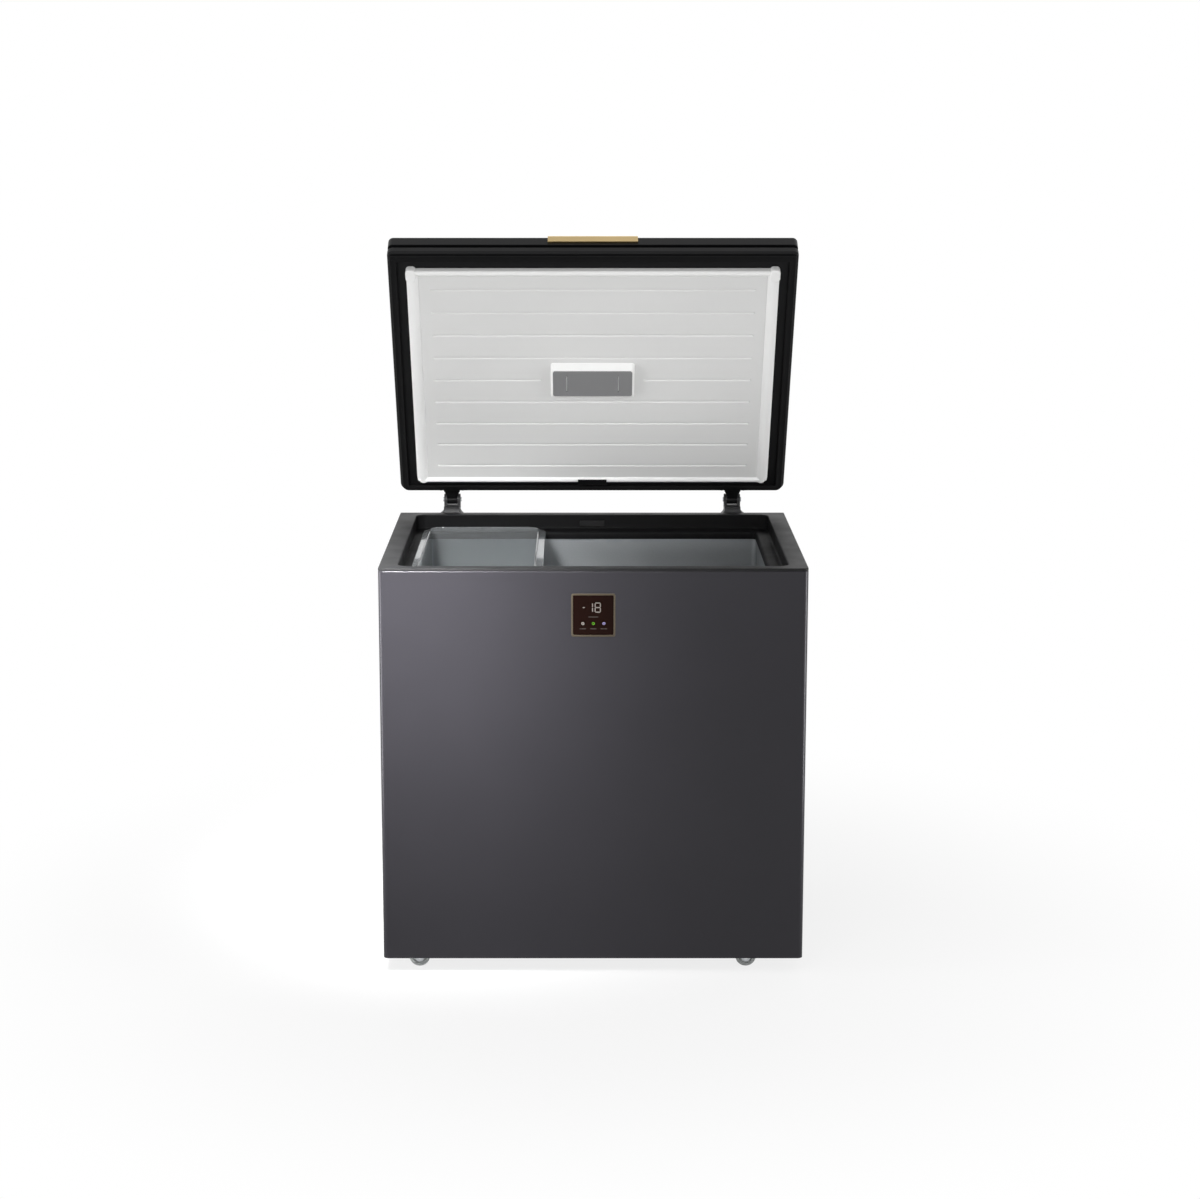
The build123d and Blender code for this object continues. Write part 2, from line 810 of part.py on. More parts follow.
def compressor_grommets():
    grommets = []
    for x, y in grommet_spots:
        body = rod((x, y, base_top), upwards, grommet_height, grommet_diameter)
        body = body + rod((x, y, plate_low), upwards, compressor_plate, grommet_neck)
        body = body + rod((x, y, plate_top), upwards, compressor_plate, grommet_cap)
        length = grommet_height + 2 * compressor_plate + 2 * over
        bore = rod((x, y, base_top - over), upwards, length, bolt_diameter + 2 * fit)
        grommets.append(body - bore)
    return Compound(children=grommets)


def compressor_bolts():
    height = grommet_height + 2 * compressor_plate
    bolts = []
    for x, y in grommet_spots:
        shank = rod((x, y, base_top), upwards, height, bolt_diameter)
        hexagon = extrude(RegularPolygon(bolt_head / 2, 6), amount=bolt_head_height)
        head = Pos(x, y, base_top + height) * hexagon
        bolts.append(shank + head)
    return Compound(children=bolts)


def terminal_cover():
    near = compressor_y - compressor_radius
    box = slab(
        compressor_x - terminal_width / 2, compressor_x + terminal_width / 2,
        near - terminal_depth, near + terminal_overlap,
        plate_top + terminal_rise, pot_middle - fit, terminal_corner,
    )
    room = 2 * (compressor_radius + fit)
    pot = rod((compressor_x, compressor_y, plate_top), upwards, compressor_height, room)
    return box - pot


def suction_pipe():
    meets = compressor_y + compressor_radius + fit
    route = [(return_y, pipe_low), (return_y, suction_z), (meets, suction_z)]
    points = [(compressor_x, y, z) for y, z in route]
    return tube(points, pipe_bend, suction_diameter)


def discharge_pipe():
    meets = compressor_x + compressor_radius + fit
    points = [
        (meets, compressor_y, discharge_z), (drop_x, compressor_y, discharge_z),
        (drop_x, skin_turn, discharge_z), (drop_x, skin_turn, drier_top),
    ]
    return tube(points, pipe_bend, discharge_diameter)


drier_low = drier_top - drier_length


def filter_drier():
    with BuildPart() as drier:
        with BuildSketch(Plane.XZ):
            radius, neck = drier_diameter / 2, condenser_diameter / 2
            Polygon(
                (0, drier_low), (neck, drier_low), (radius, drier_low + drier_neck),
                (radius, drier_top - drier_neck), (neck, drier_top), (0, drier_top), align=None,
            )
        revolve(axis=Axis.Z)
    return Pos(drop_x, skin_return, 0) * drier.part


def capillary_tube():
    turn_z = drier_low - capillary_drop
    points = [
        (drop_x, skin_return, drier_low), (drop_x, skin_return, turn_z), (inlet_x, skin_return, turn_z),
        (inlet_x, coil_back, turn_z), (inlet_x, coil_back, pipe_low),
    ]
    return tube(points, pipe_bend, capillary_diameter)


def control_box():
    front = inside_front + fit
    box = slab(
        cable_x - control_box_width / 2, cable_x + control_box_width / 2, front, front + control_box_depth,
        control_top - control_box_height, control_top, control_box_corner,
    )
    return fillet(box.edges().filter_by(Plane.XY), control_box_corner / 2)


def display_cable():
    start = board_front + display_board_thickness
    plug_z = display_z - cable_below_display
    points = [
        (0, start, plug_z), (0, cable_y, plug_z), (0, cable_y, cable_z),
        (cable_x, cable_y, cable_z), (cable_x, cable_y, control_top),
    ]
    return tube(points, cable_bend, cable_diameter)


# Louvred cover of the compressor bay
gland_x = grille_left + gland_from_left
gland_z = grille_low + gland_from_below


def rear_grille():
    grille = slab(grille_left, grille_right, back_y, back_y + grille_sheet, grille_low, grille_high)
    width = opening_right - opening_left
    pitch_x = width / louvre_columns
    first_z = gland_z + gland_flange
    pitch_z = (opening_high - louvre_top_margin - first_z) / (louvre_rows - 1)
    slot = Plane.XZ * SlotOverall(louvre_length, louvre_width)
    slot = extrude(slot, amount=grille_sheet + over, both=True)
    for row in range(louvre_rows):
        for column in range(louvre_columns):
            x = opening_left + (column + 0.5) * pitch_x
            grille = grille - Pos(x, back_y, first_z + row * pitch_z) * slot
    for point in grille_screw_points:
        grille = grille - screw_hole(point, forwards)
    hole = gland_body + 2 * fit
    return grille - rod((gland_x, back_y - over, gland_z), backwards, grille_sheet + 2 * over, hole)


def cord_gland():
    outer = back_y + grille_sheet
    body = rod((gland_x, outer, gland_z), forwards, gland_depth, gland_body)
    flange = rod((gland_x, outer, gland_z), backwards, gland_flange_height, gland_flange)
    length = gland_depth + gland_flange_height
    bore = rod((gland_x, outer - gland_depth - over, gland_z), backwards, length + 2 * over, gland_bore)
    return body + flange - bore


def back_screws():
    points = hinge_screw_points + grille_screw_points
    return Compound(children=[screw(point, forwards) for point in points])


# Drain through the floor of the well, closed by a plug
def drain_tube():
    low, high = base_height - drain_below, liner_floor + liner_sheet
    pipe = rod((drain_x, drain_y, low), upwards, high - low, drain_outer)
    return pipe - rod((drain_x, drain_y, low - over), upwards, high - low + 2 * over, drain_bore)


def drain_plug():
    seat = liner_floor + liner_sheet + fit
    stem = rod((drain_x, drain_y, seat - plug_length), upwards, plug_length, drain_bore - 2 * fit)
    head = rod((drain_x, drain_y, seat), upwards, plug_head_height, plug_head)
    head = fillet(head.edges().sort_by(Axis.Z)[-1:], plug_round)
    return stem + head


# Display: thin frame, glass, board and the pocket behind
def square(size, y0, y1, corner=0.0):
    """An upright square plate in the middle of the display."""
    outline = RectangleRounded(size, size, corner) if corner > 0 else Rectangle(size, size)
    return Pos(0, y1, display_z) * extrude(Plane.XZ * outline, amount=y1 - y0)


def display_bezel():
    spigot = glass_size + 2 * spigot_wall
    outer = square(display_size, front_y - display_proud, front_y, display_corner)
    outer = fillet(outer.faces().sort_by(Axis.Y)[:1].edges(), display_round)
    neck = square(spigot, front_y, inside_front + spigot_reach)
    window = square(
        glass_size, front_y - display_proud - over, inside_front + spigot_reach + over, display_corner / 2
    )
    return outer + neck - window


def display_glass():
    glass = square(glass_size - 2 * fit, glass_front, board_front, display_corner / 2)
    return fillet(glass.faces().sort_by(Axis.Y)[:1].edges(), glass_round)


def display_board():
    return square(glass_size - 2 * board_margin, board_front, board_front + display_board_thickness)


def display_housing():
    y0, y1 = inside_front, inside_front + display_housing_depth
    inside = display_housing_size - 2 * display_housing_wall
    box = square(display_housing_size, y0, y1) - square(inside, y0 - over, y1 - display_housing_wall)
    low = display_z - display_housing_size / 2 - over
    return box - rod((0, cable_y, low), upwards, display_housing_wall + 2 * over, cable_diameter + 2 * fit)


# Hinge bracket on the cabinet's back
bar_gap = 0.2
cheek_inner = hinge_body_width / 2 - hinge_cheek
body_top = rim_height + hinge_body_above
flange_low = rim_height - hinge_flange_height
pin_hole = hinge_pin_diameter + 2 * running


def hinge_base(centre):
    flange = slab(
        centre - hinge_flange_width / 2, centre + hinge_flange_width / 2,
        back_y, back_y + hinge_flange_sheet,
        flange_low, rim_height - hinge_flange_drop,
    )
    flange = fillet(flange.edges().filter_by(Axis.Y), hinge_flange_corner)
    left, right = centre - hinge_body_width / 2, centre + hinge_body_width / 2
    near, far = back_y + hinge_flange_sheet, hinge_y + hinge_cheek_radius
    body = slab(left, right, near, far, flange_low + hinge_body_rise, body_top)
    body = fillet(body.edges().filter_by(Axis.Z).sort_by(Axis.Y)[-2:], hinge_body_corner)
    for low_x in (left, right - hinge_cheek):
        body = body + slab(low_x, low_x + hinge_cheek, hinge_y - hinge_cheek_radius, far, body_top, hinge_z)
        body = body + rod((low_x, hinge_y, hinge_z), sideways, hinge_cheek, 2 * hinge_cheek_radius)
    hole = rod((left - over, hinge_y, hinge_z), sideways, hinge_body_width + 2 * over, pin_hole)
    bracket = flange + body - hole
    for point in hinge_screw_points:
        bracket = bracket - screw_hole(point, forwards)
    return bracket


def hinge_pins():
    pins = []
    for centre in hinge_centres:
        start = centre - hinge_body_width / 2 - bar_gap
        length = hinge_body_width + 2 * bar_gap
        pin = rod((start, hinge_y, hinge_z), sideways, length, hinge_pin_diameter)
        for head_x in (start - hinge_pin_head_height, start + length):
            pin = pin + rod((head_x, hinge_y, hinge_z), sideways, hinge_pin_head_height, hinge_pin_head)
        pins.append(pin)
    return Compound(children=pins)


# Hinge arm on the lid, drawn closed
def hinge_arm(centre):
    half = cheek_inner - bar_gap
    wide = arm_bar_width / 2
    plate_half = arm_plate_width / 2
    plate_y = lid_back + arm_plate_sheet
    neck_y = hinge_y - hinge_cheek_radius - arm_neck_gap
    shoulder_y = plate_y + arm_shoulder
    plate = slab(
        centre - plate_half, centre + plate_half, lid_back, plate_y,
        lid_under + frame_round, cover_top - cover_round,
    )
    plate = fillet(plate.edges().filter_by(Axis.Y), arm_plate_corner)
    outline = Polygon(
        (centre - wide, plate_y), (centre - wide, shoulder_y),
        (centre - half, neck_y), (centre - half, hinge_y),
        (centre + half, hinge_y), (centre + half, neck_y),
        (centre + wide, shoulder_y), (centre + wide, plate_y),
        align=None,
    )
    bar = Pos(0, 0, hinge_z - arm_bar_height / 2) * extrude(outline, amount=arm_bar_height, dir=(0, 0, 1))
    knuckle = rod((centre - half, hinge_y, hinge_z), sideways, 2 * half, 2 * hinge_knuckle_radius)
    hole = rod((centre - half - over, hinge_y, hinge_z), sideways, 2 * half + 2 * over, pin_hole)
    arm = plate + bar + knuckle - hole
    for point in arm_screw_points:
        arm = arm - screw_hole(point, forwards)
    return arm


def lid_slab(inset, z0, z1):
    """A block of the lid's outline, inset all round."""
    return outline_slab(
        lid_half - inset, lid_front + inset, lid_back - inset, z0, z1,
        max(lid_front_corner - inset, least_corner), max(lid_back_corner - inset, least_corner),
    )


def liner_window(inset, z0, z1):
    """A block of the white liner's outline, inset all round."""
    half = lid_half - border_side - inset
    return slab(
        -half, half, lid_front + border_front + inset, lid_back - border_back - inset, z0, z1,
        max(lid_liner_corner - inset, least_corner),
    )


handle_half = handle_width / 2
cup_front = lid_front + groove_depth
cup_back = lid_front + cup_depth


# Lid frame: the black surround with its upright edge and the step for the cover
def lid_frame():
    plate_top = lid_under + frame_plate
    deck_low = groove_low - frame_plate
    edge = lid_slab(0, lid_under, groove_low) - lid_slab(frame_wall, plate_top, groove_low + over)
    deck = lid_slab(frame_wall, deck_low, groove_low)
    deck = deck - lid_slab(cover_hem, deck_low - over, groove_low + over)
    inner = groove_depth + frame_wall
    step = lid_slab(groove_depth, groove_low, cover_low)
    step = step - lid_slab(inner, groove_low - over, cover_low + over)
    cup_room = slab(
        -handle_half, handle_half, lid_front - over, cup_back, deck_low - over, cover_low + over
    ) - slab(-handle_half, handle_half, lid_front - over, cup_front, 0, groove_low)
    frame = edge + deck + step - cup_room - liner_window(0, lid_under - over, plate_top + over)
    low_face = frame.faces().filter_by(Plane.XY).sort_by(Axis.Z)[0]
    frame = fillet(low_face.outer_wire().edges(), frame_round)
    for point in arm_screw_points:
        frame = frame - screw_hole(point, forwards)
    return frame


# Lid cover: drawn sheet with a rolled top edge and a hem turned in below
def lid_cover():
    outer = lid_slab(0, cover_low, cover_top)
    outer = fillet(outer.faces().sort_by(Axis.Z)[-1:].edges(), cover_round)
    inner = lid_slab(cover_sheet, cover_low + cover_sheet, cover_top - cover_sheet)
    inner = fillet(inner.faces().sort_by(Axis.Z)[-1:].edges(), cover_round - cover_sheet)
    cover = outer - inner - lid_slab(cover_hem, cover_low - over, cover_low + 2 * cover_sheet)
    for point in arm_screw_points:
        cover = cover - screw_hole(point, forwards)
    return cover


def lid_foam():
    low = lid_under + frame_plate + liner_flange_sheet
    inside = liner_window(fit + liner_wall, field_z + liner_field, low)
    middle = lid_slab(cover_hem + fit, low, cover_low + cover_sheet)
    upper = lid_slab(cover_sheet, cover_low + cover_sheet, cover_top - cover_sheet)
    upper = fillet(upper.faces().sort_by(Axis.Z)[-1:].edges(), cover_round - cover_sheet + fit)
    foam = inside + middle + upper
    cup = slab(-handle_half, handle_half, lid_front, cup_back, groove_low - frame_plate, cover_low)
    foam = foam - cup
    for point in arm_screw_points:
        foam = foam - screw_hole(point, forwards)
    return foam


# White liner of the lid: shallow pan with a raised bead round a ribbed field
def lid_liner():
    flange_low = lid_under + frame_plate
    pan = liner_window(fit, field_z, flange_low + liner_flange_sheet)
    pan = pan + liner_window(-liner_flange, flange_low, flange_low + liner_flange_sheet)
    half, front, back = lid_liner_half, lid_liner_front, lid_liner_back
    bead = liner_window(fit, bead_z, field_z)
    ear_front = front - ear_reach
    for left in (-half - ear_reach, half + ear_reach - ear_width):
        bead = bead + slab(
            left, left + ear_width, ear_front, ear_front + ear_length, bead_z, lid_under, ear_corner
        )
    bead = bead - slab(
        -half + bead_side, half - bead_side, front + bead_end, back - bead_end,
        bead_z - over, field_z, bead_corner,
    )
    liner = pan + fillet(face_edges_at(bead, bead_z), bead_round)
    hollow = liner_window(fit + liner_wall, field_z + liner_field, flange_low + liner_flange_sheet + over)
    liner = liner - hollow
    middle = (front + back) / 2
    slot = extrude(SlotOverall(rib_length, rib_width), amount=rib_depth)
    for rib in range(rib_count):
        y = middle + (rib - (rib_count - 1) / 2) * rib_pitch
        if rib != rib_count // 2:
            liner = liner - Pos(0, y, field_z) * slot
    short = (rib_length - lamp_base_width) / 2 - rib_lamp_gap
    stub = extrude(SlotOverall(short, rib_width), amount=rib_depth)
    for side in (-1, 1):
        liner = liner - Pos(side * (rib_length - short) / 2, middle, field_z) * stub
    return liner


lamp_y = (lid_front + border_front + lid_back - border_back) / 2


# Lamp in the middle of the lid: white boss with a grey cover
def lamp_housing():
    base = RectangleRounded(lamp_base_width, lamp_base_length, lamp_round)
    face = RectangleRounded(lamp_face_width, lamp_face_length, lamp_round)
    boss = loft([Pos(0, lamp_y, field_z - lamp_height) * face, Pos(0, lamp_y, field_z) * base])
    cavity = slab(
        -lamp_cavity_width / 2, lamp_cavity_width / 2,
        lamp_y - lamp_cavity_length / 2, lamp_y + lamp_cavity_length / 2,
        field_z - lamp_height - over, field_z - liner_wall,
    )
    return boss - cavity


def lamp_cover():
    low = field_z - lamp_height - lamp_cover_sheet
    plate = Pos(0, lamp_y, low) * extrude(
        RectangleRounded(lamp_cover_width, lamp_cover_length, lamp_cover_corner), amount=lamp_cover_sheet
    )
    plate = fillet(plate.faces().sort_by(Axis.Z)[:1].edges(), lamp_cover_round)
    outline = SlotOverall(lamp_slot_length, lamp_slot_width, rotation=90)
    slot = extrude(outline, amount=lamp_cover_sheet + 2 * over)
    for side in (-1, 1):
        plate = plate - Pos(side * lamp_slot_spacing / 2, lamp_y, low - over) * slot
    return plate


# Seal that closes on the rim
def lid_gasket():
    outer = lid_slab(gasket_inset, rim_height + fit, lid_under)
    inner = lid_slab(gasket_inset + gasket_width, rim_height, lid_under + over)
    seal = outer - inner
    return fillet(seal.faces().sort_by(Axis.Z)[:1].edges(), gasket_round)


# Handle: sheet trim that wraps over the front edge of the cover
def handle_bar():
    low = cover_low + handle_hem
    grow = handle_sheet
    round_y, round_z = lid_front + cover_round, cover_top - cover_round
    outer_r = cover_round + grow
    slant = math.sqrt(0.5)
    with BuildPart() as bar:
        with BuildSketch(Plane.YZ.offset(-handle_half)):
            with BuildLine():
                Line((lid_front, low), (lid_front - grow, low))
                Line((lid_front - grow, low), (lid_front - grow, round_z))
                ThreePointArc(
                    (lid_front - grow, round_z),
                    (round_y - outer_r * slant, round_z + outer_r * slant),
                    (round_y, cover_top + grow),
                )
                Line((round_y, cover_top + grow), (round_y + handle_return, cover_top + grow))
                Line((round_y + handle_return, cover_top + grow), (round_y + handle_return, cover_top))
                Line((round_y + handle_return, cover_top), (round_y, cover_top))
                ThreePointArc(
                    (round_y, cover_top),
                    (round_y - cover_round * slant, round_z + cover_round * slant),
                    (lid_front, round_z),
                )
                Line((lid_front, round_z), (lid_front, low))
            make_face()
        extrude(amount=handle_width)
    ends = bar.part.faces().filter_by(Axis.X)
    outer_edges = ShapeList(
        edge for face in ends for edge in face.edges()
        if edge.center().Y < lid_front - grow / 2 or edge.center().Z > cover_top + grow / 2
    )
    return fillet(outer_edges, handle_round)


# Cup that lines the finger groove behind the handle
def handle_cup():
    low, high = groove_low, cover_low
    cup = slab(-handle_half + fit, handle_half - fit, cup_front, cup_back - fit, low, high)
    hollow = slab(
        -handle_half + fit + cup_wall, handle_half - fit - cup_wall,
        cup_front - over, cup_back - fit - cup_wall, low + cup_wall, high - cup_wall,
    )
    return cup - hollow


def lid_rear_tab():
    near = lid_back - border_back - tab_reach
    far = lid_back - border_back + fit + tab_wall
    low = bead_z - tab_wall - fit
    shelf = slab(-tab_width / 2, tab_width / 2, near, far, low, low + tab_wall)
    web = slab(-tab_width / 2, tab_width / 2, far - tab_wall, far, low, lid_under)
    return shelf + web


def rear_rim_pad():
    wall = back_y - rim_end
    top = rim_height - pad_drop
    pad = slab(-pad_width / 2, pad_width / 2, wall - pad_sheet, wall, top - pad_height, top)
    return fillet(pad.faces().sort_by(Axis.Y)[:1].edges(), pad_round)


def arm_screws():
    return Compound(children=[opened(screw(point, forwards)) for point in arm_screw_points])


# Basket: clear box with a flange that hangs on the throat ledge
def hanging_basket():
    left = -half_width + lip_inset + basket_side_gap
    right = left + basket_width
    front, back = front_y + lip_inset + basket_end_gap, back_y - lip_inset - basket_end_gap
    seat = ledge_top + fit
    top = seat + basket_flange_sheet
    body = slab(left, right, front, back, top - basket_height, top, basket_corner)
    low_edges = body.faces().sort_by(Axis.Z)[:1].edges()
    body = fillet(low_edges, basket_floor_round)
    flange = slab(
        left - basket_flange, right + basket_flange, front - basket_flange_ends, back + basket_flange_ends,
        seat, top, basket_corner + basket_flange,
    )
    inner = slab(
        left + basket_wall, right - basket_wall, front + basket_wall, back - basket_wall,
        top - basket_height + basket_wall, top + over, basket_corner - basket_wall,
    )
    inner = fillet(inner.faces().sort_by(Axis.Z)[:1].edges(), basket_floor_round - basket_wall / 2)
    return body + flange - inner


# Casters
axle_z = wheel_diameter / 2
fork_top = wheel_diameter + fork_above_wheel
race_gap = 0.3


def caster_plates():
    plates = []
    for x, y in caster_spots.values():
        half = caster_plate_size / 2
        low = base_height - caster_plate_sheet
        plate = slab(x - half, x + half, y - half, y + half, low, base_height, caster_plate_corner)
        race_low = fork_top + race_gap
        plate = plate + rod((x, y, race_low), upwards, low - race_low, race_diameter)
        head_top = fork_top - fork_sheet - race_gap
        plate = plate + rod((x, y, head_top), upwards, low - head_top, kingpin_diameter)
        head_low = head_top - kingpin_head_height
        plate = plate + rod((x, y, head_low), upwards, kingpin_head_height, kingpin_head)
        for point in caster_screw_points:
            if abs(point[0] - x) < caster_plate_size and abs(point[1] - y) < caster_plate_size:
                plate = plate - screw_hole(point, upwards)
        plates.append(plate)
    return Compound(children=plates)


def caster_screws():
    return Compound(children=[screw(point, upwards) for point in caster_screw_points])


leg_inner = wheel_width / 2 + fork_wheel_gap
axle_hole = axle_diameter + 2 * running


def caster_fork(x, y):
    disc = rod((x, y, fork_top - fork_sheet), upwards, fork_sheet, fork_disc)
    hole = kingpin_diameter + 2 * running
    fork = disc - rod((x, y, fork_top - fork_sheet - over), upwards, fork_sheet + 2 * over, hole)
    half_disc = math.sqrt((fork_disc / 2) ** 2 - (leg_inner + fork_sheet) ** 2)
    eye_x = x - caster_trail
    for side in (-1, 1):
        y0 = y + side * leg_inner
        outline = Polygon(
            (eye_x - fork_eye_radius, axle_z), (eye_x + fork_eye_radius, axle_z),
            (x + half_disc, fork_top), (x - half_disc, fork_top), align=None,
        )
        eye = Pos(eye_x, axle_z) * Circle(fork_eye_radius)
        leg = extrude(Plane.XZ * (outline + eye), amount=fork_sheet)
        shift = y0 + (fork_sheet if side > 0 else 0.0)
        leg = Pos(0, shift, 0) * leg
        fork = fork + (leg - rod((eye_x, y0 - 2 * fork_sheet, axle_z), backwards, 4 * fork_sheet, axle_hole))
    return fork


def caster_axle(x, y):
    eye_x = x - caster_trail
    half = leg_inner + fork_sheet + race_gap
    axle = rod((eye_x, y - half, axle_z), backwards, 2 * half, axle_diameter)
    axle = axle + rod((eye_x, y - half, axle_z), forwards, axle_head_height, axle_head)
    return axle + rod((eye_x, y + half, axle_z), backwards, axle_head_height, axle_head)


def caster_wheel(x, y):
    eye_x = x - caster_trail
    wheel = rod((eye_x, y - wheel_width / 2, axle_z), backwards, wheel_width, wheel_diameter)
    rims = wheel.edges().filter_by(GeomType.CIRCLE)
    wheel = fillet(rims, wheel_round)
    for side in (-1, 1):
        face_y = y + side * wheel_width / 2
        inwards = (0, -side, 0)
        dish = rod((eye_x, face_y, axle_z), inwards, wheel_dish_depth, wheel_dish)
        dish = dish - rod((eye_x, face_y, axle_z), inwards, wheel_dish_depth, wheel_hub)
        wheel = wheel - dish
    bore = rod((eye_x, y - wheel_width, axle_z), backwards, 2 * wheel_width, axle_hole)
    return wheel - bore


cabinet_nodes = {
    "outer_shell": outer_shell,
    "back_panel": back_panel,
    "base_pan": base_pan,
    "top_frame": top_frame,
    "inner_liner": inner_liner,
    "cabinet_foam": cabinet_foam,
    "bay_partition": bay_partition,
    "compressor": compressor,
    "compressor_grommets": compressor_grommets,
    "compressor_bolts": compressor_bolts,
    "terminal_cover": terminal_cover,
    "filter_drier": filter_drier,
    "capillary_tube": capillary_tube,
    "suction_pipe": suction_pipe,
    "discharge_pipe": discharge_pipe,
    "control_box": control_box,
    "display_cable": display_cable,
    "rear_grille": rear_grille,
    "cord_gland": cord_gland,
    "back_screws": back_screws,
    "drain_tube": drain_tube,
    "drain_plug": drain_plug,
    "display_housing": display_housing,
    "display_board": display_board,
    "display_bezel": display_bezel,
    "display_glass": display_glass,
    "hinge_pins": hinge_pins,
    "rear_rim_pad": rear_rim_pad,
    "caster_plates": caster_plates,
    "caster_screws": caster_screws,
    "hanging_basket": hanging_basket,
}
for node, make in cabinet_nodes.items():
    save(node, make())

evaporator = evaporator_points()
evaporator_bends = [pipe_bend] + [
    coil_corner if abs(abs(x) - coil_half) < fit else pipe_bend for x, y, z in evaporator[2:-1]
]
save("evaporator_coil", tube(evaporator, evaporator_bends, evaporator_diameter))
print("evaporator least gap", round(least_gap(evaporator, evaporator_bends, evaporator_diameter), 2))
condenser = condenser_points()
condenser_bends = [
    skin_corner if abs(y - skin_front) < fit else pipe_bend * 0.5 for x, y, z in condenser[1:-1]
]
save("condenser_coil", tube(condenser, condenser_bends, condenser_diameter))
print("condenser least gap", round(least_gap(condenser, condenser_bends, condenser_diameter), 2))

lid_nodes = {
    "lid_cover": lid_cover,
    "lid_frame": lid_frame,
    "lid_foam": lid_foam,
    "lid_liner": lid_liner,
    "lid_gasket": lid_gasket,
    "handle_bar": handle_bar,
    "handle_cup": handle_cup,
    "lamp_housing": lamp_housing,
    "lamp_cover": lamp_cover,
    "lid_rear_tab": lid_rear_tab,
}
for node, make in lid_nodes.items():
    save(node, opened(make()))
save("arm_screws", arm_screws())

for side, centre in zip(("left", "right"), hinge_centres):
    save("hinge_base_" + side, hinge_base(centre))
    save("hinge_arm_" + side, opened(hinge_arm(centre)))

for spot, (x, y) in caster_spots.items():
    save("caster_fork_" + spot, caster_fork(x, y))
    save("caster_axle_" + spot, caster_axle(x, y))
    save("caster_wheel_" + spot, caster_wheel(x, y))
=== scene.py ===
"""Chest freezer with its lid open: finishes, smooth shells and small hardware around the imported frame."""

import json
import logging
import math
from dataclasses import dataclass
from enum import Enum
from typing import Callable, Sequence

import bmesh
import bpy
import numpy as np
from mathutils import Matrix, Vector


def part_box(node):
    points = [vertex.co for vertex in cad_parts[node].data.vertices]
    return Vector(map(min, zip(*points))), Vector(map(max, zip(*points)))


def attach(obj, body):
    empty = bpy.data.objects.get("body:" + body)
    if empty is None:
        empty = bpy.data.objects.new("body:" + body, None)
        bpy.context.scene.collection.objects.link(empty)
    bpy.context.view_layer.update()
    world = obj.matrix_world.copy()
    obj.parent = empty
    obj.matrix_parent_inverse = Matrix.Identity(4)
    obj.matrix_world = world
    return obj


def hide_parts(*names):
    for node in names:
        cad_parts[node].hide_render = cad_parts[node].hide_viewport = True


LOG = logging.getLogger("freezer")
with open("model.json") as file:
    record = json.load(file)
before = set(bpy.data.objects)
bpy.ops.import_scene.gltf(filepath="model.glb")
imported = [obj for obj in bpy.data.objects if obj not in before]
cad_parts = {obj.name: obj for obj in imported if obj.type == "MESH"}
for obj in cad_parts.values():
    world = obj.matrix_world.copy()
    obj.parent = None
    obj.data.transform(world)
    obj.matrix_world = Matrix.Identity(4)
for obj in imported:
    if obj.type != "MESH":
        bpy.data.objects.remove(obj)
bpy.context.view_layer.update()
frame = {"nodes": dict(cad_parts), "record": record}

Point = tuple[float, float]
Triple = tuple[float, float, float]
Box = tuple[Vector, Vector]
Mesh = bpy.types.Mesh
Tree = bpy.types.NodeTree
Socket = bpy.types.NodeSocket

BEHAVIOUR = frame["record"]["behaviour"]
NODE_BODY = {node: body for body, nodes in BEHAVIOUR["bodies"].items() for node in nodes}
NODE_SLOT = {part["node"]: part["material_slot"] for part in frame["record"]["subparts"]}
LID_JOINT = next(joint for joint in BEHAVIOUR["joints"] if joint["name"] == "lid_hinge")
LID_HINGE = Vector(LID_JOINT["pos_m"])
LID_ANGLE = math.radians(LID_JOINT["range_deg"][0])
LID_TURN = (Matrix.Translation(LID_HINGE) @ Matrix.Rotation(LID_ANGLE, 4, "X")
            @ Matrix.Translation(-LID_HINGE))

SIDES = ("left", "right")
CORNER_STEPS = 10
LEAST_CORNER = 0.0006
FINE_LINES = 11
LEAST_GAP = 0.0003
SMOOTH_ANGLE = math.radians(38.0)
FLAT_ANGLE = math.radians(0.4)
TINY = 1e-6

# Shares and noise values that every finish has in common
GRAIN_DETAIL, TINT_DETAIL, GLOSS_DETAIL = 3.0, 4.0, 5.0
PATTERN_SHARE = 0.35
TINT_ENDS = (0.25, 0.75)
GLOSS_ENDS = (0.3, 0.7)
GLOSS_FINENESS = 3.0
BRUSH_STRETCH = (0.02, 1.0, 1.0)
NO_STRETCH = (1.0, 1.0, 1.0)


class Pattern(Enum):
    """Fine surface patterns that a finish can carry."""

    GRAIN = "grain"
    FLAKE = "flake"
    BRUSHED = "brushed"
    SPANGLE = "spangle"
    STUCCO = "stucco"


def linear(code: str) -> tuple[float, float, float, float]:
    """Turns a colour written as six hexadecimal digits into linear values.

    Args:
        code: Colour such as "5b585f".

    Returns:
        Red, green, blue and an opacity of 1.
    """
    channels = [int(code[i:i + 2], 16) / 255 for i in (0, 2, 4)]
    curve = [c / 12.92 if c <= 0.04045 else ((c + 0.055) / 1.055) ** 2.4 for c in channels]
    return curve[0], curve[1], curve[2], 1.0


def add_node(tree: Tree, kind: str, links: dict[str | int, Socket] | None = None,
             values: dict[str | int, object] | None = None, **settings: object) -> bpy.types.Node:
    """Adds a node to a tree and feeds it.

    Args:
        tree: Tree of a material, of the world or of Geometry Nodes.
        kind: Type of the node.
        links: Socket that feeds each input, by the input's name or number.
        values: Fixed value of each input, by the input's name or number.
        settings: Attributes of the node, such as an operation.

    Returns:
        The new node.
    """
    made = tree.nodes.new(kind)
    for key, value in settings.items():
        setattr(made, key, value)
    for key, value in (values or {}).items():
        made.inputs[key].default_value = value
    for key, source in (links or {}).items():
        tree.links.new(source, made.inputs[key])
    return made


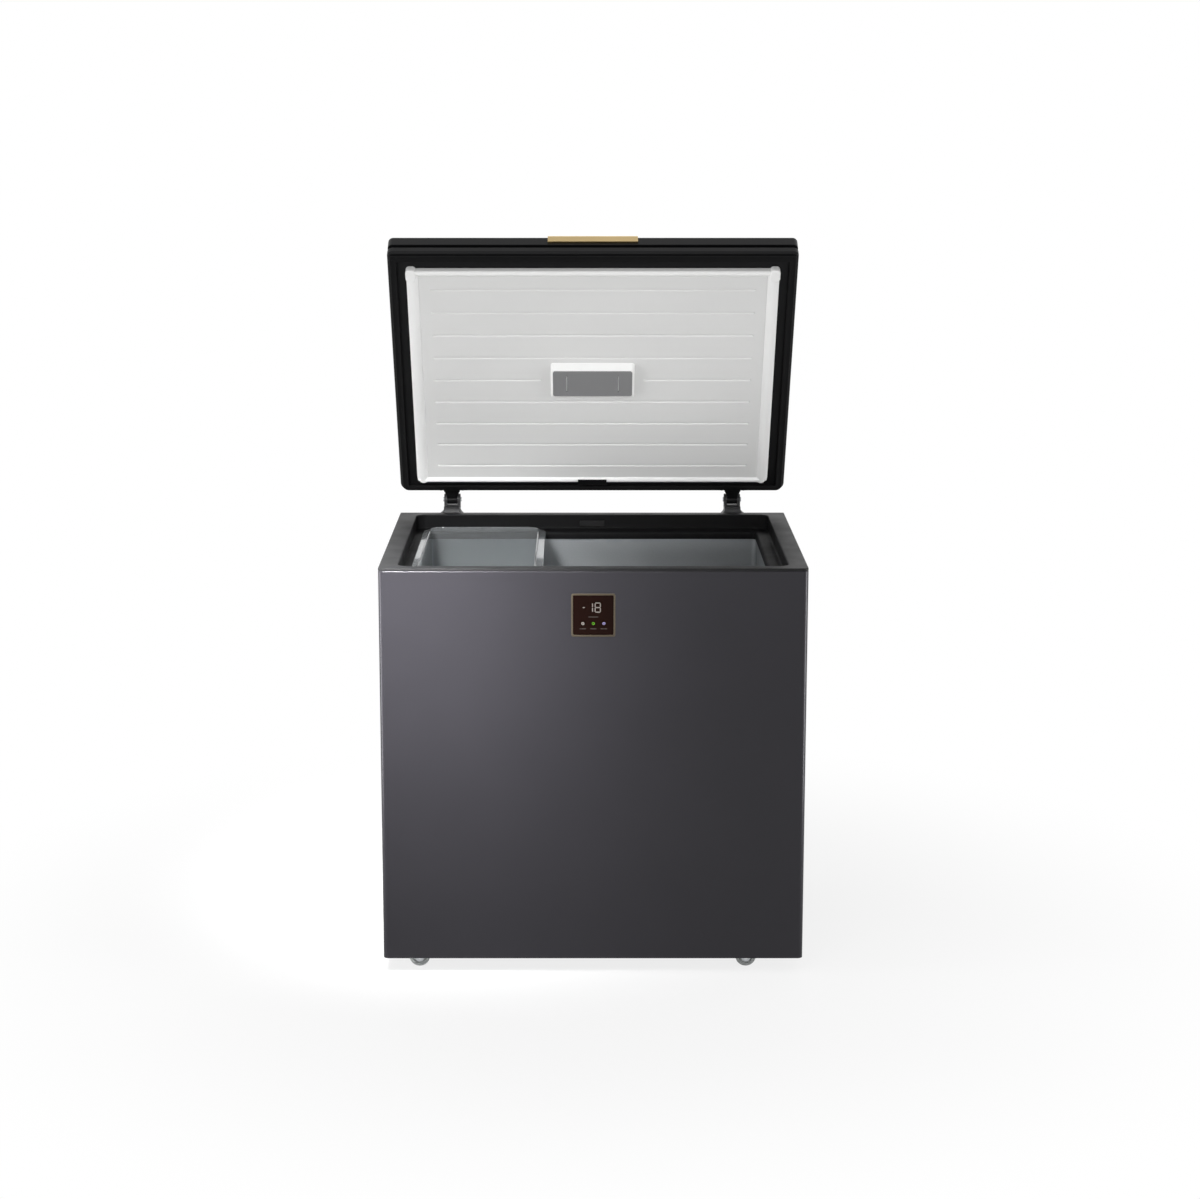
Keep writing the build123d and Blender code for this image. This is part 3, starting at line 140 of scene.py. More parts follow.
def noise(tree: Tree, spot: Socket, scale: float, detail: float) -> Socket:
    """Returns a socket with soft noise of a scale and a detail."""
    values = {"Scale": scale, "Detail": detail}
    return add_node(tree, "ShaderNodeTexNoise", {"Vector": spot}, values).outputs["Fac"]


@dataclass(frozen=True)
class Finish:
    """One surface finish, made into a material from nodes on Object coordinates."""

    name: str
    color: str
    roughness: float
    metallic: float = 0.0
    specular: float = 0.5
    pattern: Pattern = Pattern.GRAIN
    scale: float = 900.0
    relief: float = 0.08
    height: float = 0.0002
    tint: float = 0.08
    tint_scale: float = 7.0
    rough_spread: float = 0.08
    coat: float = 0.0
    coat_roughness: float = 0.1
    transmission: float = 0.0
    ior: float = 1.5
    glow: float = 0.0

    def material(self) -> bpy.types.Material:
        """Finds the finish's material, or makes it the first time.

        Returns:
            The material.
        """
        label = "finish_" + self.name
        found = bpy.data.materials.get(label)
        if found is not None:
            return found
        made = bpy.data.materials.new(label)
        made.use_nodes = True
        tree = made.node_tree
        shader = tree.nodes["Principled BSDF"]
        constants = {
            "Metallic": self.metallic, "Specular IOR Level": self.specular, "Coat Weight": self.coat,
            "Coat Roughness": self.coat_roughness, "Transmission Weight": self.transmission,
            "IOR": self.ior, "Emission Strength": self.glow,
        }
        if self.glow > 0:
            constants["Emission Color"] = linear(self.color)
        for socket, value in constants.items():
            shader.inputs[socket].default_value = value
        spot = add_node(tree, "ShaderNodeTexCoord").outputs["Object"]
        fine = self._fine_pattern(tree, spot)
        tree.links.new(self._tinted(tree, spot, fine), shader.inputs["Base Color"])
        tree.links.new(self._gloss(tree, spot), shader.inputs["Roughness"])
        if self.relief > 0:
            bump = add_node(tree, "ShaderNodeBump", {"Height": fine},
                            {"Strength": self.relief, "Distance": self.height})
            tree.links.new(bump.outputs["Normal"], shader.inputs["Normal"])
        return made

    def _fine_pattern(self, tree: Tree, spot: Socket) -> Socket:
        """Adds the fine pattern.

        Args:
            tree: Material's node tree.
            spot: Socket with the Object coordinates.

        Returns:
            Socket with the pattern's height.
        """
        stretch = BRUSH_STRETCH if self.pattern is Pattern.BRUSHED else NO_STRETCH
        mapped = add_node(tree, "ShaderNodeMapping", {"Vector": spot}, {"Scale": stretch}).outputs["Vector"]
        if self.pattern in (Pattern.GRAIN, Pattern.BRUSHED):
            return noise(tree, mapped, self.scale, GRAIN_DETAIL)
        cells = add_node(tree, "ShaderNodeTexVoronoi", {"Vector": mapped}, {"Scale": self.scale})
        return cells.outputs["Distance" if self.pattern is Pattern.STUCCO else "Color"]

    def _tinted(self, tree: Tree, spot: Socket, fine: Socket) -> Socket:
        """Varies the colour a little, from place to place and with the fine pattern.

        Args:
            tree: Material's node tree.
            spot: Socket with the Object coordinates.
            fine: Socket with the pattern's height.

        Returns:
            Socket with the colour.
        """
        broad = noise(tree, spot, self.tint_scale, TINT_DETAIL)
        blend = add_node(tree, "ShaderNodeMix", {2: broad, 3: fine}, {0: PATTERN_SHARE}, data_type="FLOAT")
        ramp = add_node(tree, "ShaderNodeValToRGB", {"Fac": blend.outputs[0]})
        shades = (1 - self.tint, 1 + self.tint)
        for element, position, shade in zip(ramp.color_ramp.elements, TINT_ENDS, shades):
            element.position = position
            element.color = [min(c * shade, 1.0) for c in linear(self.color)[:3]] + [1.0]
        return ramp.outputs["Color"]

    def _gloss(self, tree: Tree, spot: Socket) -> Socket:
        """Varies the gloss in soft patches, as handling and moulding leave it.

        Args:
            tree: Material's node tree.
            spot: Socket with the Object coordinates.

        Returns:
            Socket with the roughness.
        """
        patches = noise(tree, spot, self.tint_scale * GLOSS_FINENESS, GLOSS_DETAIL)
        spread = add_node(tree, "ShaderNodeMapRange", {"Value": patches}, {
            "From Min": GLOSS_ENDS[0], "From Max": GLOSS_ENDS[1],
            "To Min": self.roughness * (1 - self.rough_spread),
            "To Max": self.roughness * (1 + self.rough_spread),
        })
        return spread.outputs["Result"]


def lit_mark(name: str, color: str, glow: float) -> Finish:
    """Returns the finish of a lit mark on the display."""
    return Finish(name, color, 0.5, specular=0.1, relief=0.0, tint=0.02, glow=glow)


SHELL_PAINT = Finish("shell_paint", "2b2a2e", 0.44, 0.5, specular=0.05, pattern=Pattern.FLAKE, scale=2600.0,
                     relief=0.03, tint=0.05, rough_spread=0.04, coat=0.3, coat_roughness=0.16)
RIM_PLASTIC = Finish("rim_plastic", "1b1b1c", 0.50, specular=0.12, relief=0.10, scale=1400.0)
# Near-black copy of the rim plastic for the throat: painted shade where the opening lies in shadow.
THROAT_PAINTED_SHADE = Finish("throat_painted_shade", "0d0d0e", 0.52, specular=0.07, relief=0.10, scale=1400.0)
LID_BLACK = Finish("lid_black", "141415", 0.45, specular=0.14, relief=0.12, scale=1500.0)
LID_PAINT = Finish("lid_paint", "121213", 0.36, specular=0.13, relief=0.05, scale=1200.0, rough_spread=0.04)
GASKET_RUBBER = Finish("gasket_rubber", "0b0b0c", 0.62, specular=0.12, relief=0.05, scale=700.0)
HINGE_GREY = Finish("hinge_grey", "2e2e2f", 0.48, specular=0.25, relief=0.12, scale=1600.0)
LINER_WHITE = Finish("liner_white", "f2f2f1", 0.38, specular=0.25, relief=0.06, tint=0.01)
# Greyer copy of the liner white for the field: painted shade, so the beads look lit brighter; the matt
# grain and roughness are real.
LINER_FIELD_PAINTED_SHADE = Finish("liner_field_painted_shade", "dededd", 0.52, specular=0.20, relief=0.14, scale=1300.0, tint=0.015)
LAMP_GREY = Finish("lamp_grey", "828283", 0.44, specular=0.25, relief=0.10, scale=1600.0, tint=0.05)
GOLD = Finish("champagne_gold", "bda678", 0.33, 1.0, pattern=Pattern.BRUSHED, scale=5200.0, relief=0.10,
              tint=0.10, rough_spread=0.15)
TRIM_GOLD = Finish("trim_gold", "474035", 0.40, 0.6, pattern=Pattern.BRUSHED, scale=5200.0, relief=0.06,
                   specular=0.2)
DARK_GLASS = Finish("dark_glass", "100604", 0.07, specular=0.045, relief=0.0, tint=0.05)
CLEAR_PLASTIC = Finish("clear_plastic", "eef2f4", 0.06, relief=0.02, scale=120.0, tint=0.02,
                       transmission=0.94, ior=1.49)
GALVANISED = Finish("galvanised", "8d9092", 0.44, 0.8, pattern=Pattern.SPANGLE, scale=110.0, relief=0.02,
                    tint=0.07, tint_scale=24.0, rough_spread=0.12)
ZINC = Finish("zinc", "b9bcc0", 0.34, 0.95, relief=0.05, scale=1500.0, tint=0.10, rough_spread=0.2)
STUCCO = Finish("stucco_aluminium", "8f9294", 0.42, 0.8, pattern=Pattern.STUCCO, scale=420.0, relief=0.35,
                height=0.0006, tint=0.05)
FOAM = Finish("foam", "e3d3a0", 0.85, specular=0.2, relief=0.35, scale=500.0, tint=0.12)
COPPER = Finish("copper", "c0784d", 0.32, 1.0, relief=0.05, tint=0.15)
STEEL_TUBE = Finish("steel_tube", "5a5b5d", 0.45, 0.8, relief=0.05, tint=0.10)
ALUMINIUM_TUBE = Finish("aluminium_tube", "c4c5c7", 0.35, 0.95, relief=0.05)
ENAMEL = Finish("black_enamel", "101011", 0.28, relief=0.05, scale=600.0, coat=0.3)
RUBBER = Finish("rubber", "151515", 0.70, specular=0.25, relief=0.15, scale=1200.0)
BLACK_PLASTIC = Finish("black_plastic", "0f0f10", 0.48, specular=0.18, relief=0.14, scale=1500.0)
SHEATH = Finish("cable_sheath", "2c2c2c", 0.55)
BOARD = Finish("circuit_board", "14502c", 0.45, relief=0.10, scale=700.0)
NYLON = Finish("wheel_nylon", "b4b7b6", 0.46, specular=0.4, relief=0.10, scale=1100.0, tint=0.05)
FORK_STEEL = Finish("fork_steel", "b0b3b6", 0.36, 0.9, relief=0.04, scale=1300.0)
BRIGHT_STEEL = Finish("bright_steel", "c8cacc", 0.24, 1.0, relief=0.03, scale=1500.0, tint=0.05)
DIGIT_LIGHT = lit_mark("digit_light", "615c59", 0.12)
MARK_WHITE = lit_mark("mark_white", "7a7572", 0.15)
MARK_GREEN = lit_mark("mark_green", "3f6f19", 0.3)
MARK_VIOLET = lit_mark("mark_violet", "716b8e", 0.2)
MARK_DIM = lit_mark("mark_dim", "322d2b", 0.1)

# Finish of each material slot, for the CAD nodes that stay as they are
SLOT_FINISH: dict[str, Finish] = {
    "shell_paint": SHELL_PAINT, "galvanised": GALVANISED, "rim_plastic": RIM_PLASTIC, "liner_sheet": STUCCO,
    "foam": FOAM, "copper": COPPER, "steel_tube": STEEL_TUBE, "aluminium_tube": ALUMINIUM_TUBE,
    "compressor_paint": ENAMEL, "rubber": RUBBER, "zinc": ZINC, "black_plastic": BLACK_PLASTIC,
    "cable_sheath": SHEATH, "lid_paint": LID_PAINT, "white_plastic": LINER_WHITE, "lamp_grey": LAMP_GREY,
    "gold": GOLD, "display_glass": DARK_GLASS, "board_green": BOARD, "clear_plastic": CLEAR_PLASTIC,
    "fork_steel": FORK_STEEL, "axle_steel": BRIGHT_STEEL, "wheel_grey": NYLON,
}


def node_points(node: str, closed: bool = False) -> np.ndarray:
    """Reads a CAD node's points.

    Args:
        node: Name of the node.
        closed: Whether to turn a lid node back to its closed place.

    Returns:
        One row of x, y and z for each point, in metres.
    """
    mesh = frame["nodes"][node].data
    points = np.zeros(len(mesh.vertices) * 3)
    mesh.vertices.foreach_get("co", points)
    points = points.reshape(-1, 3)
    if closed:
        back = np.array(LID_TURN.inverted())
        points = points @ back[:3, :3].T + back[:3, 3]
    return points


def closed_box(node: str) -> Box:
    """Returns the lowest and highest corner of a lid node in its closed place."""
    points = node_points(node, closed=True)
    return Vector(points.min(0)), Vector(points.max(0))


def merged(node: str) -> bmesh.types.BMesh:
    """Opens a CAD node's mesh for work, with its doubled points merged.

    Args:
        node: Name of the node.

    Returns:
        The mesh, which the caller frees.
    """
    work = bmesh.new()
    work.from_mesh(frame["nodes"][node].data)
    bmesh.ops.remove_doubles(work, verts=work.verts, dist=TINY)
    return work


def solid_boxes(node: str, closed: bool = False) -> list[Box]:
    """Finds the box of each separate solid in a CAD node.

    Args:
        node: Name of the node.
        closed: Whether to turn a lid node back to its closed place.

    Returns:
        Lowest and highest corner of each solid.
    """
    work = merged(node)
    if closed:
        bmesh.ops.transform(work, matrix=LID_TURN.inverted(), verts=work.verts)
    left = set(work.verts)
    boxes = []
    while left:
        grown = [left.pop()]
        points = []
        while grown:
            vert = grown.pop()
            points.append(vert.co.copy())
            near = {edge.other_vert(vert) for edge in vert.link_edges} & left
            left -= near
            grown += near
        array = np.array(points)
        boxes.append((Vector(array.min(0)), Vector(array.max(0))))
    work.free()
    return sorted(boxes, key=lambda box: tuple(round(value, 5) for value in box[0]))


def arc(centre: Point, radius: float, start: float, end: float, steps: int) -> list[Point]:
    """Returns the points of a round stretch between two angles in degrees, in straight steps."""
    angles = np.radians(np.linspace(start, end, steps + 1))
    return [(centre[0] + radius * math.cos(a), centre[1] + radius * math.sin(a)) for a in angles]


def swell(distance: float, reach: float) -> float:
    """Returns a smooth swelling: 1 at its middle, and 0 from its reach on."""
    return 0.5 * (1 + math.cos(math.pi * distance / reach)) if distance < reach else 0.0


def grid_lines(start: float, end: float, marks: Sequence[Point], step: float) -> list[float]:
    """Places grid lines close together near each mark and further apart between.

    Args:
        start: First line.
        end: Last line.
        marks: Middle and reach of each stretch that needs fine lines.
        step: Widest gap between lines.

    Returns:
        Sorted places of the lines.
    """
    fine: set[float] = {round(start, 6), round(end, 6)}
    for middle, reach in marks:
        spots = np.linspace(middle - reach, middle + reach, FINE_LINES)
        fine |= {round(float(spot), 6) for spot in spots if start <= spot <= end}
    known = sorted(fine)
    lines = [known[0]]
    for value in known[1:]:
        gap = value - lines[-1]
        if gap < LEAST_GAP and value != known[-1]:
            continue
        extra = int(gap // step)
        lines += [lines[-1] + gap * (i + 1) / (extra + 1) for i in range(extra)] + [value]
    return sorted(set(lines))


@dataclass(frozen=True)
class Outline:
    """Level outline with rounded corners. The back ones have a radius of their own where it is given."""

    half: float
    front: float
    back: float
    corner: float
    back_corner: float | None = None

    def loop(self, inset: float) -> list[Point]:
        """Draws the outline, moved in.

        Args:
            inset: How far it is moved in.

        Returns:
            Points, counter-clockwise from above.
        """
        half, front, back = self.half - inset, self.front + inset, self.back - inset
        rear = self.corner if self.back_corner is None else self.back_corner
        near, far = max(self.corner - inset, LEAST_CORNER), max(rear - inset, LEAST_CORNER)
        return (
            arc((-half + near, front + near), near, 180, 270, CORNER_STEPS)
            + arc((half - near, front + near), near, 270, 360, CORNER_STEPS)
            + arc((half - far, back - far), far, 0, 90, CORNER_STEPS)
            + arc((-half + far, back - far), far, 90, 180, CORNER_STEPS)
        )

    def ring(self, inset: float, z: float) -> np.ndarray:
        """Returns the outline moved in by inset, at one height."""
        return np.array([(x, y, z) for x, y in self.loop(inset)])

    def rings(self, profile: Sequence[Point]) -> list[np.ndarray]:
        """Returns one ring for each inset and height of a profile."""
        return [self.ring(inset, z) for inset, z in profile]


class Skin:
    """Points and faces of one piece, gathered before they become a mesh."""

    def __init__(self) -> None:
        """Starts with nothing."""
        self.points: list[Triple] = []
        self.faces: list[tuple[int, ...]] = []

    def add(self, points: Sequence[Sequence[float]], faces: Sequence[Sequence[int]]) -> None:
        """Adds points and the faces between them.

        Args:
            points: New points.
            faces: Numbers of each face's points, counted from the first new one.
        """
        first = len(self.points)
        self.points += [tuple(map(float, point)) for point in points]
        self.faces += [tuple(first + i for i in face) for face in faces]

    def loft(self, rings: Sequence[np.ndarray], wrap: bool = False, caps: bool = False,
             ring_closed: bool = True, skip: Callable[[int, int], bool] | None = None) -> None:
        """Joins rings of as many points with four-sided faces.

        Args:
            rings: Rings in order.
            wrap: Whether the last ring joins the first one.
            caps: Whether the first and the last ring are filled.
            ring_closed: Whether each ring's last point joins its first one.
            skip: Says which face is left out, from its ring and its place on it.
        """
        count = len(rings[0])
        faces: list[tuple[int, ...]] = []
        for i in range(len(rings) if wrap else len(rings) - 1):
            after = (i + 1) % len(rings)
            for j in range(count if ring_closed else count - 1):
                k = (j + 1) % count
                if skip is None or not skip(i, j):
                    faces.append((i * count + j, i * count + k, after * count + k, after * count + j))
        if caps:
            faces.append(tuple(range(count)))
            faces.append(tuple((len(rings) - 1) * count + j for j in range(count)))
        self.add(np.concatenate(rings), faces)

    def mesh(self, name: str, turn: Matrix | None = None) -> Mesh:
        """Makes a smooth mesh with its faces outwards.

        Args:
            name: Name of the mesh.
            turn: Place to move it to, if any.

        Returns:
            The new mesh.
        """
        made = bpy.data.meshes.new(name)
        made.from_pydata(self.points, [], self.faces)
        work = bmesh.new()
        work.from_mesh(made)
        bmesh.ops.remove_doubles(work, verts=work.verts, dist=TINY)
        bmesh.ops.recalc_face_normals(work, faces=work.faces)
        if turn is not None:
            bmesh.ops.transform(work, matrix=turn, verts=work.verts)
        work.to_mesh(made)
        work.free()
        smooth(made)
        return made


def lofted(name: str, rings: Sequence[np.ndarray], turn: Matrix | None = None, wrap: bool = False,
           caps: bool = False) -> Mesh:
    """Makes a mesh from rings alone.

    Args:
        name: Name of the mesh.
        rings: Rings of as many points, in order.
        turn: Place to move it to, if any.
        wrap: Whether the last ring joins the first one.
        caps: Whether the first and the last ring are filled.

    Returns:
        The new mesh.
    """
    skin = Skin()
    skin.loft(rings, wrap, caps)
    return skin.mesh(name, turn)


def smooth(mesh: Mesh) -> None:
    """Shades a mesh smooth, with its real edges kept sharp."""
    mesh.shade_smooth()
    mesh.set_sharp_from_angle(angle=SMOOTH_ANGLE)


def dress_two(mesh: Mesh, main_finish: Finish, other: Finish, is_other: Callable[[Vector], bool]) -> None:
    """Gives a mesh two finishes, by the place of its faces.

    Args:
        mesh: Mesh without materials.
        main_finish: Finish of most faces.
        other: Finish of the faces that the test picks.
        is_other: Tells from a face's middle whether it takes the other finish.
    """
    for finish in (main_finish, other):
        mesh.materials.append(finish.material())
    for face in mesh.polygons:
        face.material_index = int(is_other(face.center))


def link(item: bpy.types.Object) -> None:
    """Puts an object into the scene's collection."""
    bpy.context.scene.collection.objects.link(item)


def place(mesh: Mesh, node: str, finish: Finish | None = None, stands_for: bool = True, bevel: float = 0.0,
          weighted: bool = True) -> bpy.types.Object:
    """Puts a piece with its mesh's name into the scene, on the body of a CAD node.

    Args:
        mesh: The piece's mesh, already in place.
        node: CAD node whose body the piece takes.
        finish: The piece's finish, unless the mesh is dressed already.
        stands_for: Whether the piece replaces the node, or only adds to it.
        bevel: Width of a small round on the sharp edges.
        weighted: Whether large faces set the shading of the edges beside them.

    Returns:
        The new object.
    """
    piece = bpy.data.objects.new(mesh.name, mesh)
    link(piece)
    if finish is not None:
        mesh.materials.append(finish.material())
    if bevel > 0:
        rounding = piece.modifiers.new("edge_round", "BEVEL")
        rounding.width = bevel
        rounding.segments = 2
        rounding.limit_method = "ANGLE"
        rounding.angle_limit = SMOOTH_ANGLE
        rounding.use_clamp_overlap = True
    if weighted:
        shading = piece.modifiers.new("flat_faces_first", "WEIGHTED_NORMAL")
        shading.keep_sharp = True
    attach(piece, NODE_BODY[node])
    if stands_for:
        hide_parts(node)
    LOG.info("piece %s on %s", piece.name, NODE_BODY[node])
    return piece


def thicken(piece: bpy.types.Object, thickness: float) -> None:
    """Gives an open sheet its thickness.

    Args:
        piece: Piece whose mesh is the sheet's outer face.
        thickness: Thickness, inwards from that face.
    """
    sheet = piece.modifiers.new("sheet", "SOLIDIFY")
    sheet.thickness = thickness
    sheet.offset = -1.0


def soft_copy(node: str, name: str, finish: Finish, bevel: float) -> None:
    """Stands in for a CAD node with a merged, smoothly shaded copy whose sharp edges are eased.

    Args:
        node: Name of the CAD node.
        name: Name of the piece.
        finish: Its finish.
        bevel: Width of the eased edges.
    """
    mesh = bpy.data.meshes.new(name)
    work = merged(node)
    bmesh.ops.dissolve_limit(work, angle_limit=FLAT_ANGLE, verts=work.verts, edges=work.edges)
    work.to_mesh(mesh)
    work.free()
    smooth(mesh)
    place(mesh, node, finish, bevel=bevel)


def plain_mesh(piece: bpy.types.Object, name: str, turn: Matrix | None = None) -> Mesh:
    """Turns an object with its modifiers into a plain mesh and removes the object.

    Args:
        piece: Object with live modifiers.
        name: Name of the mesh.
        turn: Place to move it to, if any.

    Returns:
        The finished mesh.
    """
    graph = bpy.context.evaluated_depsgraph_get()
    mesh = bpy.data.meshes.new_from_object(piece.evaluated_get(graph))
    mesh.name = name
    piece.modifiers.clear()
    bpy.data.objects.remove(piece)
    if turn is not None:
        mesh.transform(turn)
    smooth(mesh)
    return mesh


class NodeTree:
    """A Geometry Nodes tree that sets one small part on every point of a mesh."""

    def __init__(self, name: str, sizes: dict[str, float]) -> None:
        """Makes the tree with its named sizes.

        Args:
            name: Name of the tree.
            sizes: Name and value of each size, in metres.
        """
        self.tree = bpy.data.node_groups.new(name, "GeometryNodeTree")
        sockets = self.tree.interface
        sockets.new_socket(name="Points", in_out="INPUT", socket_type="NodeSocketGeometry")
        self.values = {}
        for label, value in sizes.items():
            socket = sockets.new_socket(name=label, in_out="INPUT", socket_type="NodeSocketFloat")
            self.values[socket.identifier] = value
        sockets.new_socket(name="Parts", in_out="OUTPUT", socket_type="NodeSocketGeometry")
        self.start = self.tree.nodes.new("NodeGroupInput")
        self.end = self.tree.nodes.new("NodeGroupOutput")

    def node(self, kind: str, links: dict[str | int, Socket] | None = None,
             values: dict[str | int, object] | None = None, **settings: object) -> bpy.types.Node:
        """Adds a node to this tree, with the arguments of add_node."""
        return add_node(self.tree, kind, links, values, **settings)

    def size(self, label: str) -> Socket:
        """Returns the socket of a named size."""
        return self.start.outputs[label]

    def product(self, label: str, factor: float) -> Socket:
        """Returns a socket with a named size times a factor."""
        made = self.node("ShaderNodeMath", {0: self.size(label)}, {1: factor}, operation="MULTIPLY")
        return made.outputs[0]

    def vector(self, x: Socket | None, y: Socket | None, z: Socket | None) -> Socket:
        """Joins three sockets into a vector, with 0 where there is none."""
        links = {axis: source for axis, source in zip("XYZ", (x, y, z)) if source is not None}
        return self.node("ShaderNodeCombineXYZ", links).outputs[0]

    def raised(self, part: Socket, height: Socket) -> Socket:
        """Returns a part moved up by a height."""
        links = {"Geometry": part, "Translation": self.vector(None, None, height)}
        return self.node("GeometryNodeTransform", links).outputs[0]

    def boolean(self, operation: str, parts: Sequence[Socket], base: Socket | None = None) -> Socket:
        """Joins parts into one, or takes them away from a base.

        Args:
            operation: UNION or DIFFERENCE.
            parts: Parts that are joined or taken away.
            base: What they are taken away from.

        Returns:
            Socket with the result.
        """
        links = {} if base is None else {"Mesh 1": base}
        made = self.node("GeometryNodeMeshBoolean", links, operation=operation)
        for part in parts:
            self.tree.links.new(part, made.inputs["Mesh 2"])
        return made.outputs["Mesh"]

    def close(self, part: Socket, finish: Finish) -> None:
        """Sets the part on every point, makes it real and gives it its finish.

        Args:
            part: Socket with the part.
            finish: Its finish.
        """
        links = {"Points": self.size("Points"), "Instance": part}
        spread = self.node("GeometryNodeInstanceOnPoints", links)
        real = self.node("GeometryNodeRealizeInstances", {"Geometry": spread.outputs[0]})
        dressed = self.node("GeometryNodeSetMaterial", {"Geometry": real.outputs[0]},
                            {"Material": finish.material()})
        self.tree.links.new(dressed.outputs[0], self.end.inputs["Parts"])

    def mesh(self, name: str, points: Sequence[Sequence[float]], turn: Matrix | None = None) -> Mesh:
        """Runs the tree on points.

        Args:
            name: Name of the mesh.
            points: Where the parts stand.
            turn: Place to move the result to, if any.

        Returns:
            A plain mesh with all the parts.
        """
        cloud = bpy.data.meshes.new(name + "_points")
        cloud.from_pydata([tuple(point) for point in points], [], [])
        carrier = bpy.data.objects.new(name + "_carrier", cloud)
        link(carrier)
        modifier = carrier.modifiers.new("parts", "NODES")
        modifier.node_group = self.tree
        for identifier, value in self.values.items():
            modifier[identifier] = value
        return plain_mesh(carrier, name, turn)


@dataclass
class CabinetShell:
    """Front and sides in one bent sheet, with a rolled top edge and an opening for the display."""

    sheet: float = 0.0008
    corner: float = 0.010
    back_bend: float = 0.0016
    least_bend: float = 0.0004
    flange: float = 0.016
    leg_gap: float = 0.002
    top_bend: float = 0.0022
    window: float = 0.0395

    def path(self, box: Box, inset: float) -> list[Point]:
        """Draws the sheet's line from the left rear flange round the front to the right one.

        Args:
            box: Lowest and highest corner of the shell.
            inset: How far the line lies inside the outer face.

        Returns:
            Points of the line, seen from above.
        """
        low, high = box
        half, front, back = high.x - inset, low.y + inset, high.y - inset
        near = max(self.corner - inset, LEAST_CORNER)
        far = max(self.back_bend - inset, self.least_bend)
        leg = high.x - self.flange - self.leg_gap
        left = [(-leg, back)] + arc((-half + far, back - far), far, 90, 180, 4)
        left += arc((-half + near, front + near), near, 180, 270, CORNER_STEPS + 4)
        left += [(-self.window, front)]
        return left + [(-x, y) for x, y in reversed(left)]

    def profile(self, low: float, high: float, middle: float) -> list[Point]:
        """Draws the section round the sheet's thickness, from its outer lower edge.

        Args:
            low: Height of the lower edge.
            high: Height of the top.
            middle: Height of the middle of the display's opening.

        Returns:
            Insets and heights.
        """
        bend, sheet = self.top_bend, self.sheet
        rows = [low, middle - self.window, middle + self.window]
        outer = [(0.0, z) for z in rows] + arc((bend, high - bend), bend, 180, 90, 5)
        inner = arc((bend, high - bend), bend - sheet, 90, 180, 5) + [(sheet, z) for z in reversed(rows)]
        return outer + [(self.flange, high), (self.flange, high - sheet)] + inner

    def build(self) -> None:
        """Builds the shell, leaves out the faces of the opening and walls it round."""
        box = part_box("outer_shell")
        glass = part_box("display_glass")
        profile = self.profile(box[0].z, box[1].z, (glass[0].z + glass[1].z) / 2)
        rings = [np.array([(x, y, z) for x, y in self.path(box, inset)]) for inset, z in profile]
        count, last = len(rings[0]), len(rings) - 1
        front = count // 2 - 1
        skin = Skin()
        skin.loft(rings, wrap=True, ring_closed=False,
                  skip=lambda i, j: j == front and i in (1, last - 2))
        for side in (0, count - 1):
            skin.faces.append(tuple(i * count + side for i in range(len(rings))))
        corners = [(1, front), (1, front + 1), (2, front + 1), (2, front)]
        inner = {1: last - 1, 2: last - 2}
        for a, b in zip(corners, corners[1:] + corners[:1]):
            skin.faces.append((a[0] * count + a[1], b[0] * count + b[1],
                               inner[b[0]] * count + b[1], inner[a[0]] * count + a[1]))
        place(skin.mesh("cabinet_shell"), "outer_shell", SHELL_PAINT)


@dataclass
class Rim:
    """Moulded rim with its stepped throat, the basket ledge and the lip over the liner."""

    side: float = 0.036
    end: float = 0.026
    plate: float = 0.005
    outer_corner: float = 0.010
    back_corner: float = 0.003
    throat_corner: float = 0.020
    edge_round: float = 0.0015
    mouth_round: float = 0.0030
    ledge_drop: float = 0.030
    ledge_fillet: float = 0.003
    ledge_plate: float = 0.003
    throat_wall: float = 0.003
    lip_inset: float = 0.064
    lip_corner: float = 0.010
    lip_round: float = 0.005
    lip_wall: float = 0.0027

    def build(self) -> None:
        """Builds the rim, grey on top and black in its throat, where the black is painted shade on the same
        plastic.
        """
        low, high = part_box("top_frame")
        top, lip_low = high.z, low.z
        under, ledge = top - self.plate, top - self.ledge_drop
        shelf = ledge - self.ledge_plate
        outer = Outline(high.x, low.y, high.y, self.outer_corner, self.back_corner)
        throat = Outline(high.x - self.side, low.y + self.end, high.y - self.end, self.throat_corner)
        lip = Outline(high.x - self.lip_inset, low.y + self.lip_inset, high.y - self.lip_inset,
                      self.lip_corner)
        edge, mouth, fillet, bend = self.edge_round, self.mouth_round, self.ledge_fillet, self.lip_round
        rings = outer.rings([(0.0, under)] + arc((edge, top - edge), edge, 180, 90, 4))
        rings += throat.rings(arc((-mouth, top - mouth), mouth, 90, 0, 6))
        rings += throat.rings(arc((fillet, ledge + fillet), fillet, 180, 270, 5))
        rings += lip.rings(arc((-bend, ledge - bend), bend, 90, 0, 6))
        rings += lip.rings([(0.0, lip_low), (-self.lip_wall, lip_low), (-self.lip_wall, shelf)])
        rings += throat.rings([(-self.throat_wall, shelf), (-self.throat_wall, under)])
        mesh = lofted("rim", rings, wrap=True)
        half, front, back = throat.half + mouth, throat.front - mouth, throat.back + mouth

        def in_throat(spot: Vector) -> bool:
            """Tells whether a face lies inside the rim, below its rounded mouth."""
            return abs(spot.x) < half and front < spot.y < back and spot.z < top - mouth / 2

        # The throat takes a near-black copy of the rim plastic, painted shade for the shadow inside the
        # opening.
        dress_two(mesh, RIM_PLASTIC, THROAT_PAINTED_SHADE, in_throat)
        place(mesh, "top_frame")


